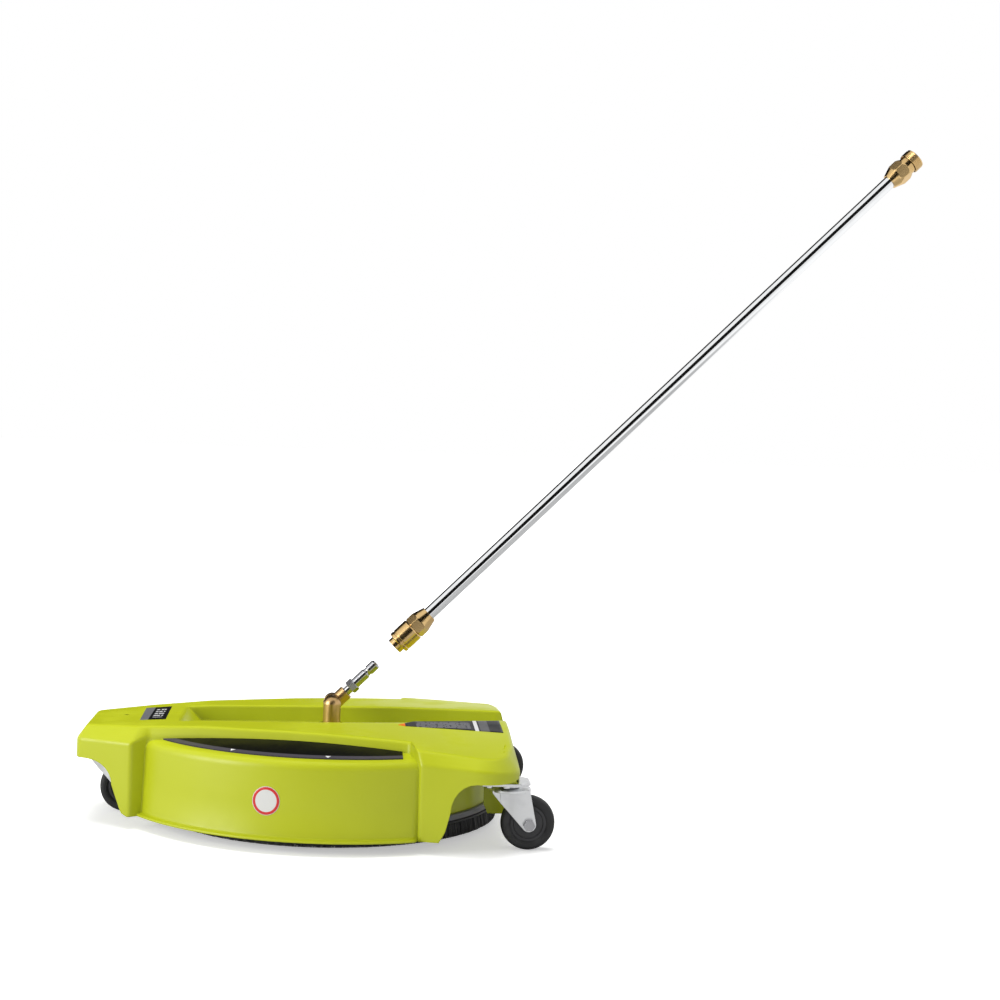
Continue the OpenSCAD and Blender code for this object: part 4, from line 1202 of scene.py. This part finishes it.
@dataclass
class BrushSector:
    """One sixth of the skirt of bristles: a backing strip and rows of tapered three-sided strands."""

    number: int
    tip_z: float = 6.5
    root_z: float = 20.4
    rows: tuple = ((160.6, 162.2), (162.4, 164.2), (164.2, 166.2), (165.8, 168.0), (167.2, 169.8), (168.4, 171.0))
    per_row: int = 400
    width: float = 0.72

    def build(self, shop: Shop) -> bpy.types.Object:
        """Builds strand points = root + (tip - root) s + bow s (1 - s) outwards, with a triangle round each.

        Args:
            shop: gives the finish.

        Returns:
            The sector, in the place of its CAD node.
        """
        rng = np.random.default_rng(40 + self.number)
        start, span = math.radians(60.0 * (self.number - 1)), math.radians(60.0)
        rows = np.array(self.rows)
        root_r, tip_r = (np.repeat(rows[:, k], self.per_row) for k in (0, 1))
        n = len(root_r)
        odd_row = np.repeat(np.arange(len(rows)), self.per_row) % 2
        place = (np.tile(np.arange(self.per_row), len(rows)) + 0.5 * odd_row + 0.25) / self.per_row
        angle = start + span * place
        root_r = root_r + rng.uniform(-0.3, 0.3, n)
        tip_r = tip_r + rng.uniform(-0.5, 0.1, n)
        lean = rng.uniform(-0.5, 0.5, n) / 170.0
        tip = self.tip_z + rng.uniform(0.0, 0.35, n)
        s = np.array([0.0, 0.55, 1.0])[None, :]
        r = root_r[:, None] + (tip_r - root_r)[:, None] * s + 0.5 * s * (1 - s)
        t = angle[:, None] + lean[:, None] * s
        z = self.root_z + (tip - self.root_z)[:, None] * s
        size = 0.5 * self.width * np.array([1.0, 0.95, 0.7])[None, :]
        turn = np.radians([0.0, 120.0, 240.0])[None, None, :] + rng.uniform(0, 2, n)[:, None, None]
        x = (r * np.cos(t))[:, :, None] + size[:, :, None] * np.cos(turn)
        y = (r * np.sin(t))[:, :, None] + size[:, :, None] * np.sin(turn)
        points = np.stack([x, y, np.broadcast_to(z[:, :, None], x.shape)], -1).reshape(-1, 3)
        ring = grid_faces(3, 3, close_columns=True)
        faces = (np.arange(n)[:, None, None] * 9 + ring[None]).reshape(-1, 4)[:, ::-1]
        caps = np.arange(n)[:, None] * 9 + np.array([8, 7, 6])[None]
        a = np.linspace(start, start + span - 0.0015, 40)
        strip = np.array([[159.6, 20.0], [171.0, 20.0], [171.2, 20.2], [171.2, 22.0], [159.6, 22.0]])
        strip_r, strip_z = strip[None, :, 0], np.broadcast_to(strip[None, :, 1], (40, 5))
        band = np.stack([strip_r * np.cos(a)[:, None], strip_r * np.sin(a)[:, None], strip_z], -1)
        backing = grid_faces(40, 5, close_columns=True)
        ends = [[0, 1, 2, 3, 4], [199, 198, 197, 196, 195]]
        all_faces = [list(f) for f in faces] + [list(f) for f in caps]
        all_faces += [[i + len(points) for i in f] for f in list(backing) + ends]
        points = np.concatenate([points, band.reshape(-1, 3)])
        piece = mesh_object(f"brush_sector_{self.number}", points, all_faces, smooth=False)
        shop.dress(piece, "bristle")
        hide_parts(f"bristles_{self.number}")
        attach(piece, "deck")
        LOG.info("brush_sector_%d: %d strands", self.number, n)
        return piece


@dataclass
class Brush:
    """The whole skirt of bristles."""

    sectors: int = 6

    def build(self, shop: Shop) -> None:
        """Builds every sector.

        Args:
            shop: gives the finish.
        """
        for number in range(1, self.sectors + 1):
            BrushSector(number).build(shop)


# ---------------------------------------------------------------- labels and marks


def folded_sheet(name: str, top: np.ndarray, drop: np.ndarray) -> bpy.types.Object:
    """A thin sheet: the grid given, with its border folded down all round.

    Args:
        name: object name.
        top: (rows, columns, 3) points of the sheet's face, in deck millimetres.
        drop: (3,) step from the face down to the border's foot.

    Returns:
        The sheet.
    """
    padded = np.pad(top, ((1, 1), (1, 1), (0, 0)), mode="edge")
    border = np.ones(padded.shape[:2], bool)
    border[1:-1, 1:-1] = False
    padded[border] += drop
    patch = Patch(padded.reshape(-1, 3), grid_faces(*padded.shape[:2])).facing(-np.asarray(drop, float))
    piece = mesh_object(name, patch.points, patch.faces)
    merge_close(piece, 1e-6)
    return piece


@dataclass
class TopLabel:
    """A label laid on the crown between a front and a back edge, each a line of (x, y) points."""

    name: str
    front: tuple
    back: tuple
    lift: float = 0.22
    size: tuple[int, int] = (48, 16)

    def build(self, deck: DeckShell, shop: Shop) -> bpy.types.Object:
        """Lays rows along u from the front edge to the back edge: point = (1 - v) front(u) + v back(u).

        Args:
            deck: gives the crown's height.
            shop: gives the finish.

        Returns:
            The label.
        """
        u = np.linspace(0.0, 1.0, self.size[0])
        edges = []
        for line in (np.array(self.front, float), np.array(self.back, float)):
            share = (line[:, 0] - line[0, 0]) / (line[-1, 0] - line[0, 0])
            edges.append(np.stack([np.interp(u, share, line[:, 0]), np.interp(u, share, line[:, 1])], -1))
        v = np.linspace(0.0, 1.0, self.size[1])[None, :, None]
        plan = edges[0][:, None] * (1.0 - v) + edges[1][:, None] * v
        top = np.concatenate([plan, (deck.crest(plan[..., 0], plan[..., 1]) + self.lift)[..., None]], -1)
        piece = folded_sheet(self.name, top, np.array([0.0, 0.0, -0.3]))
        shop.dress(piece, self.name)
        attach(piece, "deck")
        LOG.info("%s: label on the crown", self.name)
        return piece


LABELS = (
    TopLabel("nose_label", ((-189.9, -30.8), (-164.6, -32.5)), ((-191.6, 41.2), (-165.9, 45.3))),
    TopLabel(
        "tail_label", ((66.1, -60.5), (72.9, -65.5), (169.0, -82.8)),
        ((66.1, -59.5), (73.5, -50.6), (82.0, -41.9), (169.0, -31.8)),
    ),
)


@dataclass
class NoseRecess:
    """The small hole near the nose: a raised rounded rim about a flat dark disc, painted shade in place of the hole's
    depth.
    """

    place: tuple[float, float] = (-207.0, 3.0)
    profile: tuple = (
        (0.0, 0.06), (1.9, 0.06), (2.3, 0.1), (2.5, 0.3), (2.7, 0.38), (3.0, 0.36), (3.3, 0.2), (3.5, 0.0), (3.5, -0.3),
    )
    # Radius of the flat disc of painted shade in the middle.
    shade_disc_r: float = 2.35
    sides: int = 40

    def build(self, deck: DeckShell, shop: Shop) -> bpy.types.Object:
        """Turns the profile (r, h): x = x0 + r cos a, y = y0 + r sin a, z = crown + h.

        Args:
            deck: gives the crown's height.
            shop: gives the finishes.

        Returns:
            The recess.
        """
        profile = np.array(self.profile)
        a = np.linspace(0.0, 2 * np.pi, self.sides, endpoint=False)[None, :]
        x = self.place[0] + profile[:, :1] * np.cos(a)
        y = self.place[1] + profile[:, :1] * np.sin(a)
        points = np.stack([x, y, deck.crest(x, y) + profile[:, 1:]], -1).reshape(-1, 3)
        patch = Patch(points, grid_faces(len(profile), self.sides, close_columns=True)).facing(UPWARD)
        piece = mesh_object("nose_recess", patch.points, patch.faces)
        merge_close(piece, 1e-6)
        piece.data.materials.append(shop.made["lime"])
        # The flat middle disc wears the painted hole shade; the rim keeps the lime.
        piece.data.materials.append(shop.made["recess"])
        middle = to_frame((*self.place, 0.0))[:2]
        away = [np.linalg.norm(np.array(f.center)[:2] - middle) for f in piece.data.polygons]
        piece.data.polygons.foreach_set("material_index", (np.array(away) < self.shade_disc_r * MM).astype(int))
        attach(piece, "deck")
        LOG.info("nose_recess: %d faces", len(piece.data.polygons))
        return piece


@dataclass
class RoundSticker:
    """Round sticker on the drum's front wall: polar grid wrapped on the drafted cylinder."""

    centre_angle: float = math.atan2(-221.8, -68.7)
    z: float = 48.0
    radius: float = 13.4
    rings: int = 9
    sides: int = 72
    wrap_r: float = 232.2

    def build(self, deck: DeckShell, shop: Shop) -> bpy.types.Object:
        """Wraps point (r, a): angle = centre + r cos a / R, height = z + r sin a, on the wall's radius R(z).

        Args:
            deck: gives the wall's place.
            shop: gives the finish.

        Returns:
            The sticker.
        """
        r = np.concatenate([np.linspace(0.0, self.radius, self.rings), [self.radius]])[:, None]
        lift = np.array([0.2] * self.rings + [-0.1])[:, None]
        a = np.linspace(0.0, 2 * np.pi, self.sides, endpoint=False)[None, :]
        z = self.z + r * np.sin(a)
        wall = np.interp(z, deck.drum_z, deck.drum_r) + lift
        turn = self.centre_angle + r * np.cos(a) / self.wrap_r
        points = np.stack([deck.bulge_x + wall * np.cos(turn), deck.bulge_offset + wall * np.sin(turn), z], -1)
        patch = Patch(points.reshape(-1, 3), grid_faces(self.rings + 1, self.sides, close_columns=True))
        patch = patch.facing(np.array([-0.3, -1.0, 0.0]))
        piece = mesh_object("round_sticker", patch.points, patch.faces)
        merge_close(piece, 1e-6)
        shop.dress(piece, "sticker")
        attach(piece, "deck")
        LOG.info("round_sticker: on the drum's wall")
        return piece


@dataclass
class PanelMarks:
    """Two small plain triangles on each shoulder panel's rim."""

    angles: tuple[float, ...] = (-118.6, -93.4)
    radius: float = 215.4
    length: float = 4.6

    def build(self, deck: DeckShell, shop: Shop) -> None:
        """Lays each triangle as a tapering strip on the cone, point outwards.

        Args:
            deck: gives the cone's height.
            shop: gives the finish.
        """
        drop = np.array([0.0, 0.0, -0.25])
        for side in Side:
            for number, angle in enumerate(self.angles, 1):
                out = np.linspace(-1.0, 1.0, 6)[:, None] * self.length / 2
                across = np.linspace(-1.0, 1.0, 4)[None, :] * (self.length / 2 - out) * 0.55
                r = self.radius + out + 0 * across
                turn = math.radians(angle) + across / self.radius
                x, y = deck.bulge_x + r * np.cos(turn), deck.bulge_offset + r * np.sin(turn)
                top = np.stack([x, -side.value * y, deck.cone_z(r) + 1.2 + 0.2], -1)
                piece = folded_sheet(f"panel_mark_{side.name.lower()}_{number}", top, drop)
                shop.dress(piece, "print")
                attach(piece, "deck")
        LOG.info("panel_mark: four plain triangles")


# ---------------------------------------------------------------- wand details


def on_wand(s: np.ndarray, r: np.ndarray, a: np.ndarray) -> np.ndarray:
    """Points round the wand's axis.

    Args:
        s: distance along the wand from the hinge.
        r: distance from the axis.
        a: angle round it.

    Returns:
        hinge + s along + (r cos a - drop) side + r sin a j.
    """
    s, r, a = np.broadcast_arrays(s, r, a)
    up = (r * np.cos(a) - WAND_DROP)[..., None] * WAND_SIDE
    across = (r * np.sin(a))[..., None] * np.array([0.0, 1.0, 0.0])
    return HINGE + s[..., None] * WAND_ALONG + (up + across)


@dataclass
class WandThread:
    """Helical ridge of the wand's threaded end: a rounded V carried along a helix that fades at both ends."""

    start: float = 826.6
    end: float = 835.6
    root_r: float = 10.85
    depth: float = 0.55
    pitch: float = 1.5

    def build(self, shop: Shop) -> bpy.types.Object:
        """Sweeps the ridge: s = start + pitch a / 2 pi + along, r = root + depth height fade(a).

        Args:
            shop: gives the finish.

        Returns:
            The ridge.
        """
        turns = (self.end - self.start) / self.pitch
        a = np.linspace(0.0, 2 * np.pi * turns, int(turns * 48))[:, None]
        profile = np.array(
            [[-0.5, -0.3], [-0.46, 0.0], [-0.14, 0.9], [0.0, 1.0], [0.14, 0.9], [0.46, 0.0], [0.5, -0.3]]
        )
        fade = np.clip(np.minimum(a, a[-1] - a) / 1.2, 0.05, 1.0)
        s = self.start + a / (2 * np.pi) * self.pitch + profile[None, :, 0] * self.pitch * 0.96
        r = self.root_r + profile[None, :, 1] * self.depth * fade
        points = on_wand(s, r, a)
        patch = Patch(points.reshape(-1, 3), grid_faces(*s.shape))
        middle = on_wand(s, np.zeros_like(r), a).reshape(-1, 3)
        patch = patch.facing(points.reshape(-1, 3) - middle)
        piece = mesh_object("wand_thread_ridge", patch.points, patch.faces)
        shop.dress(piece, "brass")
        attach(piece, "wand")
        LOG.info("wand_thread_ridge: %.1f turns", turns)
        return piece


# ---------------------------------------------------------------- camera and studio


@dataclass(frozen=True)
class PhotoCamera:
    """The photograph's camera, solved from the deck, wheels and wand."""

    focal_px: float = 1680.7
    azimuth: float = -5.5
    elevation: float = 2.2
    roll: float = 2.1
    distance: float = 1730.0
    target: Point = (165.1, 0.0, 327.7)

    def build(self) -> bpy.types.Object:
        """Places the camera on a sphere round the target, turned about its own axis by the roll.

        Returns:
            The scene's camera.
        """
        az, el, roll = (math.radians(a) for a in (self.azimuth, self.elevation, self.roll))
        back = Vector((math.sin(az) * math.cos(el), -math.cos(az) * math.cos(el), math.sin(el)))
        right = Vector((math.cos(az), math.sin(az), 0.0))
        up = back.cross(right)
        turned_right = right * math.cos(roll) + up * math.sin(roll)
        turned_up = up * math.cos(roll) - right * math.sin(roll)
        data = bpy.data.cameras.new("photo_camera")
        data.sensor_width = 36.0
        data.lens = self.focal_px / 1000.0 * data.sensor_width
        data.clip_end = 50.0
        camera = bpy.data.objects.new("photo_camera", data)
        turn = Matrix((turned_right, turned_up, back)).transposed().to_4x4()
        place = Vector(to_frame(np.array(self.target))) + back * self.distance * MM
        camera.matrix_world = Matrix.Translation(place) @ turn
        bpy.context.scene.collection.objects.link(camera)
        bpy.context.scene.camera = camera
        return camera


@dataclass(frozen=True)
class Lamp:
    """One soft area lamp: where it is, where it points, its size and its power."""

    name: str
    place: Point
    aim: Point
    size: float
    power: float
    mirrored: bool = True

    def build(self) -> None:
        """Adds the lamp to the scene."""
        data = bpy.data.lights.new(self.name, "AREA")
        data.shape, data.size, data.energy = "SQUARE", self.size, self.power
        lamp = bpy.data.objects.new(self.name, data)
        lamp.location = self.place
        lamp.visible_glossy = self.mirrored
        lamp.rotation_euler = (Vector(self.aim) - Vector(self.place)).to_track_quat("-Z", "Y").to_euler()
        bpy.context.scene.collection.objects.link(lamp)


@dataclass
class Studio:
    """Plain pale floor, white surround, soft lamps and the dark cards that bright metal mirrors."""

    world_level: float = 0.4
    floor_half: float = 30.0
    cards: tuple = (("card_near", -7.0, 47.0), ("card_far", 110.0, 176.0))
    card_r: float = 900.0
    card_run: tuple[float, float] = (-900.0, 1200.0)
    wand_middle: Point = (350.0, 17.0, 450.0)
    lamps: tuple[Lamp, ...] = (
        Lamp("lamp_over", (-0.3, 0.3, 2.6), (0.0, 0.0, 0.1), 1.8, 66.0, mirrored=False),
        Lamp("lamp_left", (-2.4, -1.1, 0.9), (-0.15, 0.0, 0.05), 1.3, 40.0),
        Lamp("lamp_front", (0.3, -3.0, 0.9), (0.0, 0.0, 0.1), 1.6, 6.0, mirrored=False),
    )

    def build(self) -> None:
        """Makes the world, floor, lamps and cards."""
        self._world()
        self._floor()
        for lamp in self.lamps:
            lamp.build()
        self._cards()
        bpy.context.scene.view_settings.view_transform = "Standard"

    def _world(self) -> None:
        """White where the camera or a mirror sees it, and plain soft light elsewhere."""
        world = bpy.data.worlds.new("surround")
        bpy.context.scene.world = world
        world.use_nodes = True
        n = Nodes(world.node_tree)
        path = n.add("ShaderNodeLightPath").outputs
        seen = n.math("MAXIMUM", path["Is Camera Ray"], path["Is Glossy Ray"])
        seen = n.math("MAXIMUM", seen, path["Is Transmission Ray"])
        background = world.node_tree.nodes["Background"]
        strength = n.math("ADD", n.math("MULTIPLY", seen, 1.0 - self.world_level), self.world_level)
        n.feed(background.inputs["Strength"], strength)
        background.inputs["Color"].default_value = (*WHITE, 1.0)

    def _floor(self) -> None:
        """A pale floor that keeps the shadow and runs into the white surround."""
        h = self.floor_half / MM
        corners = np.array([[-h, -h, 0], [h, -h, 0], [h, h, 0], [-h, h, 0]])
        piece = mesh_object("studio_floor", corners, [[0, 1, 2, 3]], smooth=False)
        material, n, shader = Finish("studio_floor", WHITE, 1.0).start()
        shader.inputs["Specular IOR Level"].default_value = 0.0
        path = n.add("ShaderNodeLightPath").outputs
        n.feed(shader.inputs["Base Color"], n.mix(path["Is Glossy Ray"], (0.82, 0.82, 0.82), (0.45, 0.45, 0.45)))
        shader.inputs["Emission Color"].default_value = (*WHITE, 1.0)
        away = n.vector("LENGTH", n.place(), output=1)
        seen = n.math("MULTIPLY", path["Is Camera Ray"], n.ramp(away, 0.7, 2.2, 0.45, 1.0))
        mirrored = n.math("MULTIPLY", path["Is Glossy Ray"], n.ramp(away, 0.8, 1.4, 0.0, 0.7))
        n.feed(shader.inputs["Emission Strength"], n.math("ADD", seen, mirrored))
        piece.data.materials.append(material)

    def _cards(self) -> None:
        """Dark cards well outside the view, which give the tube and the brass their dark bands."""
        material, _, shader = Finish("dark_card", CARD_BLACK, 1.0).start()
        shader.inputs["Specular IOR Level"].default_value = 0.0
        for name, low, high in self.cards:
            piece = self._card(name, low, high)
            piece.data.materials.append(material)
            piece.visible_diffuse = piece.visible_camera = piece.visible_shadow = False

    def _card(self, name: str, low: float, high: float) -> bpy.types.Object:
        """A strip of a wide cylinder round the wand, between two angles round it.

        Args:
            name: object name.
            low: first angle in degrees; 0 is towards the camera, 90 is square to the wand's upper side.
            high: last angle.

        Returns:
            The strip: point = middle + radius (cos a toward + sin a side) + t along.
        """
        angle = np.radians(np.linspace(low, high, 12))[:, None, None]
        t = np.array(self.card_run)[None, :, None]
        toward = np.array([0.0, -1.0, 0.0])
        out = self.card_r * (np.cos(angle) * toward + np.sin(angle) * WAND_SIDE)
        points = np.array(self.wand_middle) + out + t * WAND_ALONG
        return mesh_object(name, points.reshape(-1, 3), grid_faces(12, 2))


def main() -> None:
    """Builds the looks in order."""
    logging.basicConfig(level=logging.INFO, format="%(message)s")
    shop = Shop()
    shop.dress_cad()
    deck = DeckShell()
    deck.build(shop)
    Brush().build(shop)
    smooth_all(shop)
    for label in LABELS:
        label.build(deck, shop)
    NoseRecess().build(deck, shop)
    RoundSticker().build(deck, shop)
    PanelMarks().build(deck, shop)
    WandThread().build(shop)
    PhotoCamera().build()
    Studio().build()


if __name__ == "__main__":
    main()
